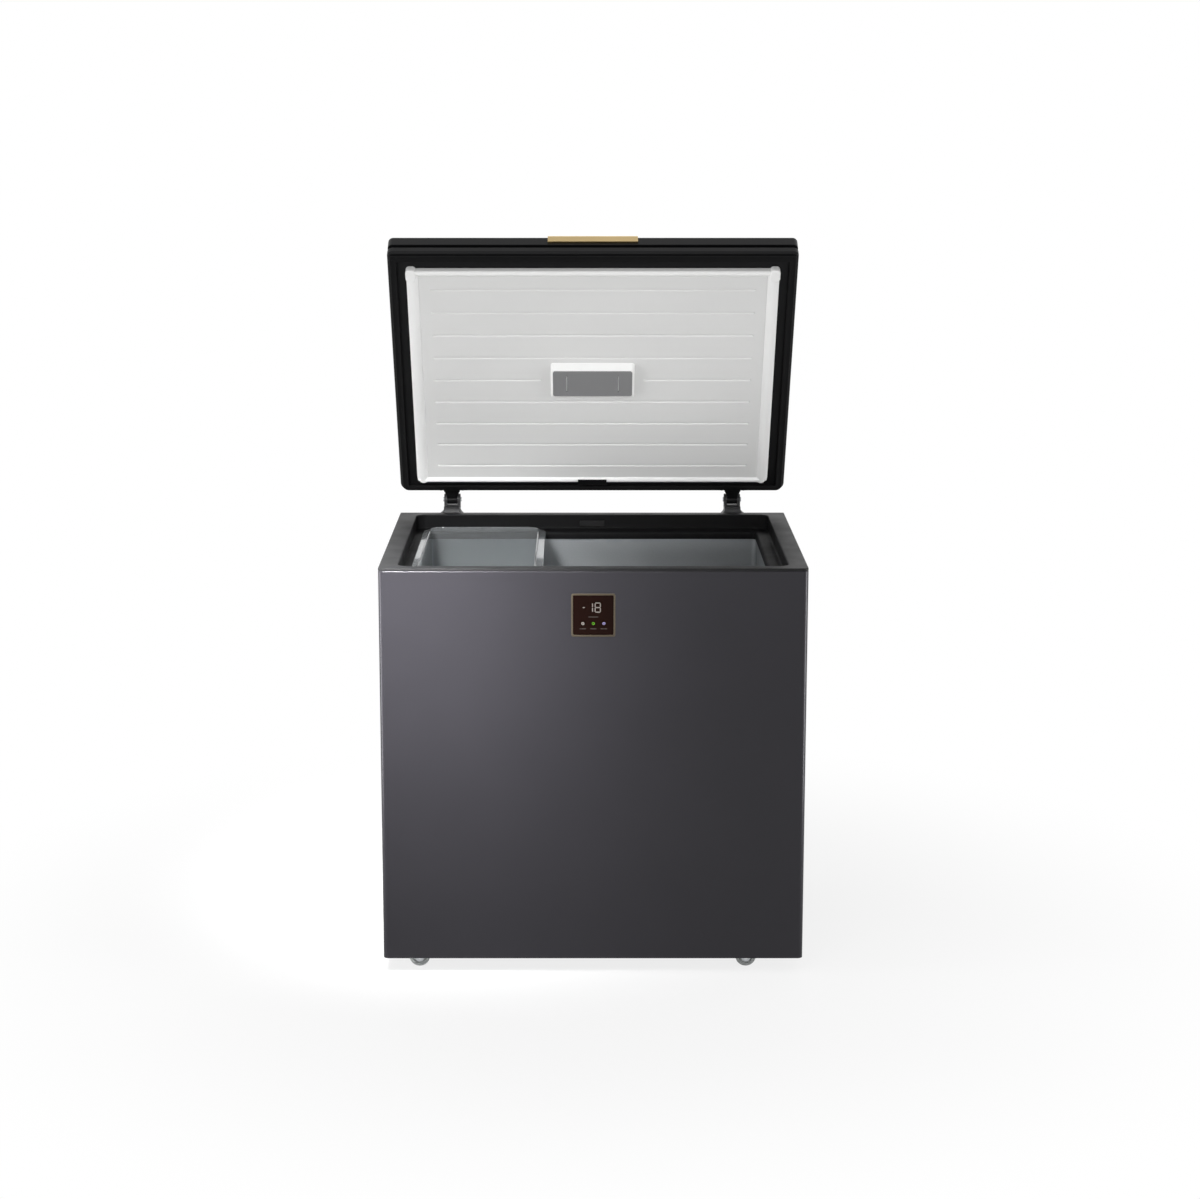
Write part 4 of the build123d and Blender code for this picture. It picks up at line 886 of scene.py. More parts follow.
@dataclass
class Basket:
    """Clear hanging basket with a stepped flange."""

    wall: float = 0.0025
    corner: float = 0.025
    floor_round: float = 0.010
    flange_side: float = 0.015
    flange_end: float = 0.030
    flange_sheet: float = 0.003
    edge_round: float = 0.0012
    mouth_round: float = 0.0018
    upstand: float = 0.008
    upstand_wall: float = 0.0045

    def build(self) -> None:
        """Builds the basket from the outside of its floor, over its rim, to the inside."""
        low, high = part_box("hanging_basket")
        middle, half = (low.x + high.x) / 2, (high.x - low.x) / 2
        top, seat = high.z, high.z - self.flange_sheet
        crest, outer = top + self.upstand, self.wall - self.upstand_wall
        edge, mouth, deep = self.edge_round, self.mouth_round, self.floor_round
        bottom = (deep, low.z + deep)
        rim = Outline(half, low.y, high.y, self.corner + self.flange_side)
        body = Outline(half - self.flange_side, low.y + self.flange_end, high.y - self.flange_end,
                       self.corner)
        rings = body.rings(arc(bottom, deep, 270, 180, 6) + [(0.0, seat - mouth), (0.0, seat)])
        rings += rim.rings(arc((edge, seat + edge), edge, 270, 180, 3))
        rings += rim.rings(arc((edge, top - edge), edge, 180, 90, 3))
        rings += body.rings([(outer, top)] + arc((outer + mouth, crest - mouth), mouth, 180, 90, 4))
        rings += body.rings(arc((self.wall - mouth, crest - mouth), mouth, 90, 0, 4))
        rings += body.rings(arc(bottom, deep - self.wall, 180, 270, 6))
        mesh = lofted("clear_basket", rings, Matrix.Translation((middle, 0, 0)), caps=True)
        place(mesh, "hanging_basket", CLEAR_PLASTIC)


@dataclass
class LidShell:
    """Black lid: drawn cover and surround with its finger groove. Sizes are for the closed lid."""

    front_corner: float = 0.010
    back_corner: float = 0.018
    cover_round: float = 0.008
    cover_sheet: float = 0.0012
    cover_lap: float = 0.010
    recess: float = 0.0008
    recess_border: float = 0.046
    recess_ease: float = 0.002
    recess_lap: float = 0.020
    cover_hem: float = 0.010
    hem_round: float = 0.0008
    frame_round: float = 0.005
    frame_edge: float = 0.017
    frame_wall: float = 0.003
    frame_plate: float = 0.0025
    groove_depth: float = 0.006
    deck_inner: float = 0.010
    border_side: float = 0.037
    border_front: float = 0.037
    border_back: float = 0.033
    window_corner: float = 0.015
    cup_depth: float = 0.030
    cut_front: float = 0.0002
    cut_below: float = 0.004
    cut_above: float = 0.002

    def outline(self) -> Outline:
        """Returns the lid's outline."""
        low, high = closed_box("lid_cover")
        return Outline(high.x, low.y, high.y, self.front_corner, self.back_corner)

    def build(self) -> None:
        """Builds the cover and the surround."""
        self.build_cover()
        self.build_frame()

    def build_cover(self) -> None:
        """Builds the drawn cover with its rolled top edge and its hem."""
        low, high = closed_box("lid_cover")
        bottom, top = low.z, high.z
        bend, sheet, hem, ease = self.cover_round, self.cover_sheet, self.cover_hem, self.hem_round
        edge, drop = self.recess_border, self.recess
        slope, floor = edge - self.recess_ease, top - drop
        profile = [(bend + self.cover_lap, top - sheet)]
        profile += arc((bend, top - bend), bend - sheet, 90, 180, 8)
        profile += [(sheet, bottom + sheet), (hem, bottom + sheet), (hem, bottom)]
        profile += arc((ease, bottom + ease), ease, 270, 180, 3)
        profile += arc((bend, top - bend), bend, 180, 90, 8)
        profile += [(slope, top)] + arc((slope, floor), drop, 90, 20, 4)
        profile += [(edge, floor), (edge + self.recess_lap, floor)]
        mesh = lofted("lid_top", self.outline().rings(profile), LID_TURN, caps=True)
        place(mesh, "lid_cover", LID_PAINT)

    def build_frame(self) -> None:
        """Builds the surround and cuts the room of the finger cup."""
        low, high = closed_box("lid_frame")
        under, top = low.z, high.z
        deck, plate = under + self.frame_edge, self.frame_plate
        outline = self.outline()
        window = Outline(outline.half - self.border_side, outline.front + self.border_front,
                         outline.back - self.border_back, self.window_corner)
        bend, groove, ease, wall = self.frame_round, self.groove_depth, self.hem_round, self.frame_wall
        inner = groove + wall
        rings = window.rings([(0.0, under)])
        rings += outline.rings(arc((bend, under + bend), bend, 270, 180, 7))
        rings += outline.rings(arc((ease, deck - ease), ease, 180, 90, 3))
        rings += outline.rings([(groove, deck), (groove, top), (inner, top), (inner, deck)])
        rings += outline.rings([(self.deck_inner, deck), (self.deck_inner, deck - plate)])
        rings += outline.rings([(wall, deck - plate), (wall, under + plate)])
        rings += window.rings([(0.0, under + plate)])
        body = bpy.data.objects.new("surround_work", lofted("surround_work", rings, wrap=True))
        cup = closed_box("handle_cup")
        cutter = self._block("cup_room",
                             (cup[0].x, outline.front + groove - self.cut_front, deck - self.cut_below),
                             (cup[1].x, outline.front + self.cup_depth, top + self.cut_above))
        for item in (body, cutter):
            link(item)
        cut = body.modifiers.new("cup_room", "BOOLEAN")
        cut.operation = "DIFFERENCE"
        cut.object = cutter
        mesh = plain_mesh(body, "lid_surround", LID_TURN)
        bpy.data.objects.remove(cutter)
        place(mesh, "lid_frame", LID_BLACK)

    @staticmethod
    def _block(name: str, low: Triple, high: Triple) -> bpy.types.Object:
        """Makes a block to cut with.

        Args:
            name: Name of the block.
            low: Lowest corner.
            high: Highest corner.

        Returns:
            The new object, not yet in the scene.
        """
        base = [(low[0], low[1]), (high[0], low[1]), (high[0], high[1]), (low[0], high[1])]
        rings = [np.array([(x, y, z) for x, y in base]) for z in (low[2], high[2])]
        return bpy.data.objects.new(name, lofted(name, rings, caps=True))


@dataclass
class LidSeal:
    """Hollow seal of the lid: a foot in the surround, a fold and a flat magnet face."""

    inset: float = 0.005
    width: float = 0.014
    foot_front: float = 0.002
    foot_back: float = 0.003
    neck_back: float = 0.004
    neck_front_share: float = 0.25
    neck_back_share: float = 0.30
    bulge_share: float = 0.28
    fold_lift: float = 1.6
    dip_lift: float = 0.75

    def build(self) -> None:
        """Builds the seal on the lid's outline."""
        low, high = closed_box("lid_gasket")
        face, foot = low.z, high.z
        height = foot - face
        near, far = self.inset, self.inset + self.width
        bulge = height * self.bulge_share
        front = near + self.foot_front
        profile = [(front, foot), (front, foot - height * self.neck_front_share)]
        profile += arc((near + bulge, face + bulge * self.fold_lift), bulge, 150, 270, 6)
        profile += [((near + far) / 2, face + bulge * self.dip_lift)]
        profile += arc((far - bulge, face + bulge), bulge, 270, 390, 6)
        neck = foot - height * self.neck_back_share
        profile += [(far - self.neck_back, neck), (far - self.foot_back, foot)]
        mesh = lofted("lid_seal", LidShell().outline().rings(profile), LID_TURN, wrap=True)
        place(mesh, "lid_gasket", GASKET_RUBBER)


@dataclass
class LidLiner:
    """White liner of the lid: half-round beads round a field with pressed grooves, for the closed lid."""

    flange: float = 0.012
    flange_gap: float = 0.002
    frame_lap: float = 0.004
    corner: float = 0.015
    bead_side: float = 0.021
    bead_end: float = 0.011
    bead_height: float = 0.004
    bead_power: float = 2.4
    channel_width: float = 0.0034
    channel_depth: float = 0.0011
    ear_width: float = 0.020
    ear_length: float = 0.028
    ear_reach: float = 0.0015
    ear_front: float = 0.0045
    ear_corner: float = 0.008
    ear_rise: float = 0.0012
    ear_ease: float = 0.0025
    groove_count: int = 9
    groove_width: float = 0.0064
    groove_depth: float = 0.0021
    groove_side_margin: float = 0.0232
    groove_end_margin: float = 0.0337
    lamp_gap: float = 0.018
    sheet: float = 0.0015
    long_step: float = 0.030
    fine_beside_groove: float = 1.3
    fine_past_bead: float = 0.001
    fine_bead_reach: float = 0.003
    crease_angle: float = 20.0

    def __post_init__(self) -> None:
        """Reads the liner's place from the frame."""
        low, high = closed_box("lid_liner")
        self.half = high.x - self.flange
        self.front = low.y + self.flange
        self.back = high.y - self.flange
        self.crest = low.z
        self.field = low.z + self.bead_height
        self.wall_top = closed_box("lid_frame")[0].z + self.frame_lap
        self.middle = (self.front + self.back) / 2
        self.groove_half = self.half - self.bead_side - self.groove_side_margin
        self.stub_inner = closed_box("lamp_housing")[1].x + self.lamp_gap
        first = self.front + self.bead_end + self.groove_end_margin
        last = self.back - self.bead_end - self.groove_end_margin
        self.grooves = list(np.linspace(first, last, self.groove_count))

    def bead(self, depth: float, width: float) -> float:
        """Works out a half-round bead's height.

        Args:
            depth: How far in from the liner's edge.
            width: Width of the bead.

        Returns:
            Height above the field.
        """
        if depth >= width:
            return 0.0
        across = abs(2 * depth / width - 1)
        return self.bead_height * (1 - across ** self.bead_power)

    def channel(self, depth: float, width: float) -> float:
        """Returns how deep the narrow channel beside a bead is at a depth in from the edge."""
        half = self.channel_width / 2
        return self.channel_depth * swell(abs(depth - width - half), half)

    def groove(self, x: float, y: float) -> float:
        """Works out how deep the pressed grooves are. The middle one stops short of the lamp.

        Args:
            x: Place across the lid.
            y: Place along the lid.

        Returns:
            Depth below the field.
        """
        reach = self.groove_width / 2
        for index, line in enumerate(self.grooves):
            if abs(y - line) >= reach:
                continue
            past = max(abs(x) - (self.groove_half - reach), 0.0)
            if index == self.groove_count // 2:
                past = max(past, self.stub_inner + reach - abs(x))
            depth = swell(math.hypot(past, y - line), reach)
            if depth > 0:
                return self.groove_depth * depth
        return 0.0

    def point(self, x: float, y: float) -> Triple:
        """Finds the liner's surface, with the corners drawn in round.

        Args:
            x: Place across the lid.
            y: Place along the lid.

        Returns:
            Point on the surface.
        """
        to_side = self.half - abs(x)
        to_end = min(y - self.front, self.back - y)
        lift = max(self.bead(to_side, self.bead_side), self.bead(to_end, self.bead_end))
        if lift <= 0:
            side, end = self.channel(to_side, self.bead_side), self.channel(to_end, self.bead_end)
            lift = -max(self.groove(x, y), side, end)
        near_x, near_y = self.corner - to_side, self.corner - to_end
        if near_x > 0 and near_y > 0:
            share = 1 - max(near_x, near_y) / math.hypot(near_x, near_y)
            x -= math.copysign(near_x * share, x)
            y -= math.copysign(near_y * share, y - self.middle)
        return x, y, self.field - lift

    def lines(self) -> tuple[list[float], list[float]]:
        """Places the grid's lines, fine over the beads, the channels, the corners and the grooves.

        Returns:
            Lines across the lid and lines along it.
        """
        def edge_marks(bead: float) -> list[Point]:
            """Returns depth and reach of the fine stretches along an edge."""
            return [(bead / 2, bead / 2), (bead + self.fine_past_bead, self.fine_bead_reach),
                    (self.corner / 2, self.corner / 2)]

        reach = self.groove_width / 2
        wide = reach * self.fine_beside_groove
        across = [(self.half - depth, near) for depth, near in edge_marks(self.bead_side)]
        across += [(self.groove_half - reach, wide), (self.stub_inner + reach, wide)]
        along = [(line, wide) for line in self.grooves]
        for depth, near in edge_marks(self.bead_end):
            along += [(self.front + depth, near), (self.back - depth, near)]
        across += [(-x, near) for x, near in across]
        return (grid_lines(-self.half, self.half, across, self.long_step),
                grid_lines(self.front, self.back, along, self.long_step))

    def build(self) -> None:
        """Builds the liner as one pressed sheet with its wall and its hidden flange."""
        xs, ys = self.lines()
        skin = Skin()
        skin.loft([np.array([self.point(x, y) for x in xs]) for y in ys], ring_closed=False)
        count = len(xs)
        edge = list(range(count)) + [i * count + count - 1 for i in range(1, len(ys))]
        edge += [(len(ys) - 1) * count + j for j in range(count - 2, -1, -1)]
        edge += [i * count for i in range(len(ys) - 2, 0, -1)]
        border = np.array([skin.points[i] for i in edge])
        outward = np.array([border[(i + 1) % len(border)] - border[i - 1] for i in range(len(border))])
        outward = np.stack([outward[:, 1], -outward[:, 0]], axis=1)
        outward /= np.linalg.norm(outward, axis=1, keepdims=True)
        raised = border.copy()
        raised[:, 2] = self.wall_top
        lap = raised.copy()
        lap[:, :2] += outward * (self.flange - self.flange_gap)
        skin.loft([border, raised, lap])
        mesh = skin.mesh("lid_inner_liner")
        if max(mesh.polygons, key=lambda face: face.area).normal.z > 0:
            mesh.flip_normals()
        mesh.set_sharp_from_angle(angle=math.radians(self.crease_angle))
        # The field takes a greyer copy of the white, painted shade beside the bright beads.
        dress_two(mesh, LINER_WHITE, LINER_FIELD_PAINTED_SHADE, self.in_shaded_field)
        mesh.transform(LID_TURN)
        thicken(place(mesh, "lid_liner", weighted=False), self.sheet)
        self.build_ears()

    def in_shaded_field(self, spot: Vector) -> bool:
        """Tells whether a face belongs to the field, with its finer matt grain and its greyer colour, which
        is painted shade beside the brighter beads.

        Args:
            spot: Middle of the face in the closed lid.

        Returns:
            Whether it lies within the beads and below the wall's top.
        """
        side, end = self.bead_side + self.channel_width / 2, self.bead_end + self.channel_width / 2
        within = abs(spot.x) < self.half - side and self.front + end < spot.y < self.back - end
        return within and spot.z < self.wall_top - self.sheet

    def build_ears(self) -> None:
        """Builds the two square ends of the side beads at the front corners."""
        skin = Skin()
        front = self.front - self.ear_front
        shape = Outline(self.ear_width / 2, front, front + self.ear_length, self.ear_corner)
        crest, ease = self.crest - self.ear_rise, self.ear_ease
        profile = [(0.0, self.wall_top)] + arc((ease, crest + ease), ease, 180, 270, 5)
        for side in (-1, 1):
            middle = side * (self.half + self.ear_reach - self.ear_width / 2)
            skin.loft([ring + np.array((middle, 0, 0)) for ring in shape.rings(profile)], caps=True)
        place(skin.mesh("lid_liner_ears", LID_TURN), "lid_liner", LINER_WHITE, stands_for=False)


@dataclass
class Lamp:
    """Lamp in the middle of the lid: white boss with eased edges under a grey cover."""

    face_width: float = 0.164
    face_length: float = 0.066
    corner: float = 0.006
    sink: float = 0.001
    foot_wall: float = 0.0008
    foot_in: float = 0.001
    foot_ease: float = 0.002
    top_ease: float = 0.002
    plate_ease: float = 0.0003

    def build(self) -> None:
        """Builds the boss and dresses the cover."""
        low, high = closed_box("lamp_housing")
        middle, half = (low.y + high.y) / 2, self.face_length / 2
        base = Outline(high.x, low.y, high.y, self.corner)
        face = Outline(self.face_width / 2, middle - half, middle + half, self.corner)
        ease = self.top_ease
        rings = base.rings([(0.0, high.z + self.sink), (0.0, high.z - self.foot_wall),
                            (self.foot_in, high.z - self.foot_ease)])
        rings += face.rings(arc((ease, low.z + ease), ease, 180, 270, 5))
        place(lofted("lamp_boss", rings, LID_TURN, caps=True), "lamp_housing", LINER_WHITE)
        soft_copy("lamp_cover", "lamp_plate", LAMP_GREY, self.plate_ease)


@dataclass
class Display:
    """Touch display: gold frame, dark glass, a plain number and three plain marks on the glass."""

    digit_height: float = 0.0175
    digit_width: float = 0.0098
    stroke: float = 0.0019
    stroke_gap: float = 0.35
    digit_gap: float = 0.0050
    digits_above: float = 0.0148
    digits_left: float = 0.0010
    minus_step: float = 0.78
    minus_width: float = 0.5
    mark_below: float = 0.0160
    mark_spacing: float = 0.0198
    mark_radius: float = 0.0028
    mark_hollow: float = 0.62
    mark_dot: float = 0.5
    mark_facets: int = 12
    line_below: float = 0.0033
    line_width: float = 0.0190
    label_below: float = 0.0262
    label_width: float = 0.0130
    label_height: float = 0.0015
    proud: float = 0.00006
    ease: float = 0.0002
    number: str = "18"

    SEGMENTS = {"1": "bc", "8": "abcdefg"}

    def build(self) -> None:
        """Builds the frame, the glass and what shows on it."""
        soft_copy("display_bezel", "display_trim", TRIM_GOLD, self.ease)
        soft_copy("display_glass", "display_pane", DARK_GLASS, self.ease)
        low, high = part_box("display_glass")
        self.depths = (low.y - self.proud, low.y + self.proud)
        self.middle = (low.z + high.z) / 2
        self.build_number()
        self.build_marks()

    @staticmethod
    def show(mesh: Mesh, finish: Finish | None = None) -> None:
        """Puts a mark on the glass."""
        place(mesh, "display_glass", finish, stands_for=False, weighted=False)

    def bar(self, skin: Skin, x: float, z: float, width: float, height: float) -> None:
        """Adds a thin bar with pointed ends.

        Args:
            skin: Skin to add it to.
            x: Middle of the bar, to the right of the display's middle.
            z: Middle of the bar, above the display's middle.
            width: Width of the bar.
            height: Height of the bar.
        """
        long, thin = max(width, height) / 2, min(width, height) / 2
        shape = [(-long, 0), (-long + thin, -thin), (long - thin, -thin),
                 (long, 0), (long - thin, thin), (-long + thin, thin)]
        if width <= height:
            shape = [(-across, along) for along, across in shape]
        skin.loft([np.array([(x + dx, y, self.middle + z + dz) for dx, dz in shape]) for y in self.depths],
                  caps=True)

    def build_number(self) -> None:
        """Builds the temperature as seven-bar digits with a minus sign."""
        skin = Skin()
        width, height, stroke = self.digit_width, self.digit_height, self.stroke
        flat, upright = (width, stroke), (stroke, height / 2 - stroke * self.stroke_gap)
        bars = {name: (0, z, *flat) for name, z in zip("agd", (height / 2, 0, -height / 2))}
        corners = [(x, z) for x in (width / 2, -width / 2) for z in (height / 4, -height / 4)]
        bars |= {name: (x, z, *upright) for name, (x, z) in zip("bcfe", corners)}
        step = width + self.digit_gap
        start = self.digits_left - step * (len(self.number) - 1) / 2
        for index, digit in enumerate(self.number):
            for segment in self.SEGMENTS[digit]:
                x, z, across, along = bars[segment]
                self.bar(skin, start + index * step + x, self.digits_above + z, across, along)
        self.bar(skin, start - step * self.minus_step, self.digits_above, width * self.minus_width, stroke)
        self.show(skin.mesh("display_number"), DIGIT_LIGHT)

    def build_marks(self) -> None:
        """Builds three round marks with a dim dash below each, and a dim line above them."""
        radii = (self.mark_radius, self.mark_radius * self.mark_hollow)
        section = list(zip(radii + radii[::-1], np.repeat(self.depths, 2)))
        dot = self.mark_radius * self.mark_dot
        label_top = self.middle - self.label_below + self.label_height
        last_angle = 360 - 360 / self.mark_facets
        for index, finish in enumerate((MARK_WHITE, MARK_GREEN, MARK_VIOLET)):
            x = (index - 1) * self.mark_spacing
            centre = (x, self.middle - self.mark_below)
            rings = []
            for radius, y in section:
                circle = arc(centre, radius, 0, last_angle, self.mark_facets - 1)
                rings.append(np.array([(px, y, pz) for px, pz in circle]))
            skin = Skin()
            skin.loft(rings, wrap=True)
            self.bar(skin, x, -self.mark_below, dot, dot)
            self.bar(skin, x, -self.label_below, self.label_width, self.label_height)
            mesh = skin.mesh(f"display_mark_{index + 1}")
            dress_two(mesh, finish, MARK_DIM, lambda spot: spot.z < label_top)
            self.show(mesh)
        line = Skin()
        self.bar(line, 0.0, -self.line_below, self.line_width, self.label_height)
        self.show(line.mesh("display_line"), MARK_DIM)


@dataclass
class Fasteners:
    """Pan-head screws with a cross recess, set where the frame has its screws."""

    head: float = 0.00425
    head_height: float = 0.0028
    skirt_share: float = 0.58
    crown_share: float = 0.72
    facets: int = 28
    cross_width: float = 0.0011
    cross_depth: float = 0.0016
    cross_reach: float = 1.15

    def tree(self, name: str) -> NodeTree:
        """Makes the tree of one screw that stands along Z with its head's underside at the point.

        Args:
            name: Name of the tree.

        Returns:
            The tree.
        """
        tree = NodeTree(name, {"Head": self.head, "Height": self.head_height, "Cross": self.cross_width,
                               "Depth": self.cross_depth})
        facets = {"Vertices": self.facets}
        crown = tree.node("GeometryNodeMeshCone", {
            "Radius Bottom": tree.size("Head"), "Radius Top": tree.product("Head", self.crown_share),
            "Depth": tree.product("Height", 1 - self.skirt_share)}, facets)
        skirt = tree.node("GeometryNodeMeshCylinder", {
            "Radius": tree.size("Head"), "Depth": tree.product("Height", self.skirt_share)}, facets)
        head = tree.boolean("UNION", (
            tree.raised(skirt.outputs["Mesh"], tree.product("Height", self.skirt_share / 2)),
            tree.raised(crown.outputs["Mesh"], tree.product("Height", self.skirt_share))))
        long, thin = tree.product("Head", self.cross_reach), tree.size("Cross")
        deep = tree.product("Depth", 2.0)
        slots = []
        for size in (tree.vector(long, thin, deep), tree.vector(thin, long, deep)):
            slot = tree.node("GeometryNodeMeshCube", {"Size": size})
            slots.append(tree.raised(slot.outputs["Mesh"], tree.size("Height")))
        tree.close(tree.boolean("DIFFERENCE", slots, head), ZINC)
        return tree

    def build(self) -> None:
        """Builds the screws of the back, of the hinge arms and of the casters."""
        upright = Matrix.Rotation(math.radians(-90), 4, "X")
        downwards = Matrix.Rotation(math.radians(180), 4, "X")
        self._set("back_screws", "rear_screws", upright)
        self._set("arm_screws", "hinge_arm_screws", upright, LID_TURN)
        self._set("caster_screws", "caster_plate_screws", downwards)

    def _set(self, node: str, name: str, stand: Matrix, turn: Matrix | None = None) -> None:
        """Sets a screw on each solid of a node.

        Args:
            node: CAD node with the screws.
            name: Name of the piece.
            stand: Turn from Z to the way the heads face.
            turn: Place of the lid, for screws on the lid.
        """
        facing = stand.to_3x3() @ Vector((0, 0, 1))
        seats = []
        for low, high in solid_boxes(node, closed=turn is not None):
            reach = abs((high - low).dot(facing)) / 2
            seats.append(stand.inverted() @ ((low + high) / 2 + facing * (reach - self.head_height)))
        whole = stand if turn is None else turn @ stand
        place(self.tree(name + "_tree").mesh(name, seats, whole), node, weighted=False)


@dataclass
class BackPanel:
    """Rear sheet with pressed stiffening beads round its plain fields and the opening behind the grille."""

    bead_half: float = 0.0060
    bead_height: float = 0.0022
    corner: float = 0.026
    margin: float = 0.045
    gap: float = 0.034
    grille_lap: float = 0.012
    step: float = 0.016
    fine_hole_reach: float = 0.0004
    fine_beside_bead: float = 1.2

    def build(self) -> None:
        """Builds the sheet."""
        low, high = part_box("back_panel")
        grille_low, grille_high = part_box("rear_grille")
        left, right = low.x + self.margin, high.x - self.margin
        upper_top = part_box("hinge_base_left")[0].z - self.gap
        self.fields = [
            (left, right, grille_high.z + self.gap, upper_top),
            (left, grille_low.x - self.gap, low.z + self.margin, grille_high.z),
        ]
        lap = self.grille_lap
        hole = (grille_low.x + lap, grille_high.x - lap, grille_low.z + lap, grille_high.z - lap)
        xs = grid_lines(low.x, high.x, self._marks(0, hole), self.step)
        zs = grid_lines(low.z, high.z, self._marks(2, hole), self.step)

        def inside(row: int, column: int) -> bool:
            """Tells whether a face of the grid lies in the opening."""
            x, z = (xs[column] + xs[column + 1]) / 2, (zs[row] + zs[row + 1]) / 2
            return hole[0] < x < hole[1] and hole[2] < z < hole[3]

        skin = Skin()
        skin.loft([np.array([(x, high.y + self.height(x, z), z) for x in xs]) for z in zs],
                  ring_closed=False, skip=inside)
        mesh = skin.mesh("rear_panel")
        if max(mesh.polygons, key=lambda face: face.area).normal.y < 0:
            mesh.flip_normals()
        thicken(place(mesh, "back_panel", GALVANISED, weighted=False), high.y - low.y)

    def _marks(self, first: int, hole: Sequence[float]) -> list[Point]:
        """Lists the stretches that need fine lines, along one direction.

        Args:
            first: Number of that direction's first edge in a field or a hole.
            hole: Edges of the opening.

        Returns:
            Middle and reach of each stretch.
        """
        marks = [(edge, self.fine_hole_reach) for edge in hole[first:first + 2]]
        for field in self.fields:
            for edge, inward in ((field[first], 1), (field[first + 1], -1)):
                marks += [(edge, self.bead_half * self.fine_beside_bead),
                          (edge + inward * self.corner / 2, self.corner / 2)]
        return marks

    def height(self, x: float, z: float) -> float:
        """Works out how far the beads stand out.

        Args:
            x: Place across the panel.
            z: Place up the panel.

        Returns:
            Height of the tallest bead there.
        """
        tallest = 0.0
        for left, right, low, high in self.fields:
            over_x = abs(x - (left + right) / 2) - (right - left) / 2 + self.corner
            over_z = abs(z - (low + high) / 2) - (high - low) / 2 + self.corner
            outside = math.hypot(max(over_x, 0.0), max(over_z, 0.0))
            distance = abs(outside + min(max(over_x, over_z), 0.0) - self.corner)
            tallest = max(tallest, self.bead_height * swell(distance, self.bead_half))
        return tallest


@dataclass
class RearGrille:
    """Louvre hoods pressed out of the rear cover, over its slots."""

    rows: int = 10
    columns: int = 3
    length: float = 0.058
    rise: float = 0.0075
    reach: float = 0.0060
    sheet: float = 0.0008
    seat_share: float = -0.4
    slot_height: float = 0.006
    slot_margin: float = 0.012
    clear_side: float = 0.008
    clear_below: float = 0.046
    clear_above: float = 0.014
    ease: float = 0.0002
    segments: int = 24
    rings: int = 12
    cut_at: float = -1e-5

    def slot_places(self) -> list[Triple]:
        """Finds the slots from their ends in the frame, clear of the cover's rim.

        Returns:
            Middle of each slot.
        """
        low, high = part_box("rear_grille")
        x, _, z = node_points("rear_grille").T
        clear = (x > low.x + self.clear_side) & (x < high.x - self.clear_side)
        ends = z[clear & (z > low.z + self.clear_below) & (z < high.z - self.clear_above)]
        step = (high.x - low.x - 2 * self.slot_margin) / self.columns
        first = low.x + self.slot_margin + step / 2
        lines = np.linspace(ends.min() + self.slot_height / 2, ends.max() - self.slot_height / 2, self.rows)
        return [(first + i * step, high.y, float(line)) for line in lines for i in range(self.columns)]

    def build(self) -> None:
        """Builds the cover and its hoods, each the upper outer quarter of a flattened ball."""
        soft_copy("rear_grille", "rear_cover", GALVANISED, self.ease)
        tree = NodeTree("louvre_tree", {"Length": self.length, "Rise": self.rise, "Reach": self.reach})
        ball = tree.node("GeometryNodeMeshUVSphere", None,
                         {"Segments": self.segments, "Rings": self.rings, "Radius": 1.0})
        scale = tree.vector(tree.product("Length", 0.5), tree.size("Reach"), tree.size("Rise"))
        shaped = tree.node("GeometryNodeTransform", {"Geometry": ball.outputs["Mesh"], "Scale": scale})
        position = tree.node("GeometryNodeInputPosition").outputs[0]
        parts = tree.node("ShaderNodeSeparateXYZ", {0: position})
        inward, below = (tree.node("FunctionNodeCompare", {0: parts.outputs[axis]}, {1: self.cut_at},
                                   operation="LESS_THAN").outputs[0] for axis in "YZ")
        either = tree.node("FunctionNodeBooleanMath", {0: inward, 1: below}, operation="OR").outputs[0]
        hood = tree.node("GeometryNodeDeleteGeometry", {"Geometry": shaped.outputs[0], "Selection": either})
        tree.close(tree.raised(hood.outputs[0], tree.product("Rise", self.seat_share)), GALVANISED)
        mesh = tree.mesh("louvre_hoods", self.slot_places())
        thicken(place(mesh, "rear_grille", stands_for=False, weighted=False), self.sheet)


@dataclass
class HingeNeck:
    """Grey neck of each hinge, which spreads at its foot and closes the gap under the knuckle."""

    foot_half: float = 0.0285
    neck_half: float = 0.0168
    foot_drop: float = 0.005
    spread_height: float = 0.010
    spread_power: float = 2.2
    gap: float = 0.0016
    knuckle: float = 0.010
    front_gap: float = 0.0005
    lid_gap: float = 0.0038
    foot_depth: float = 0.014
    back_gap: float = 0.004
    corner: float = 0.002
    ease: float = 0.0006
    levels: int = 10

    def build(self) -> None:
        """Builds both necks on the hinge brackets. They lean back, clear of the closed lid."""
        top = LID_HINGE.z - self.knuckle - self.gap
        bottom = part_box("top_frame")[1].z - self.foot_drop
        foot_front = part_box("back_panel")[1].y + self.front_gap
        foot_back = foot_front + self.foot_depth
        for side in SIDES:
            bracket = f"hinge_base_{side}"
            low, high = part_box(bracket)
            middle = np.array(((low.x + high.x) / 2, 0, 0))
            rings = []
            for z in np.linspace(bottom, top, self.levels):
                share = min((z - bottom) / self.spread_height, 1.0)
                half = self.neck_half + (self.foot_half - self.neck_half) * (1 - share) ** self.spread_power
                front = foot_front + share * (self.lid_gap - self.front_gap)
                back = foot_back + share * (high.y - self.back_gap - foot_back)
                rings.append(Outline(half, front, back, self.corner).ring(0.0, float(z)) + middle)
            mesh = lofted(f"hinge_neck_{side}", rings, caps=True)
            place(mesh, bracket, HINGE_GREY, stands_for=False, bevel=self.ease)


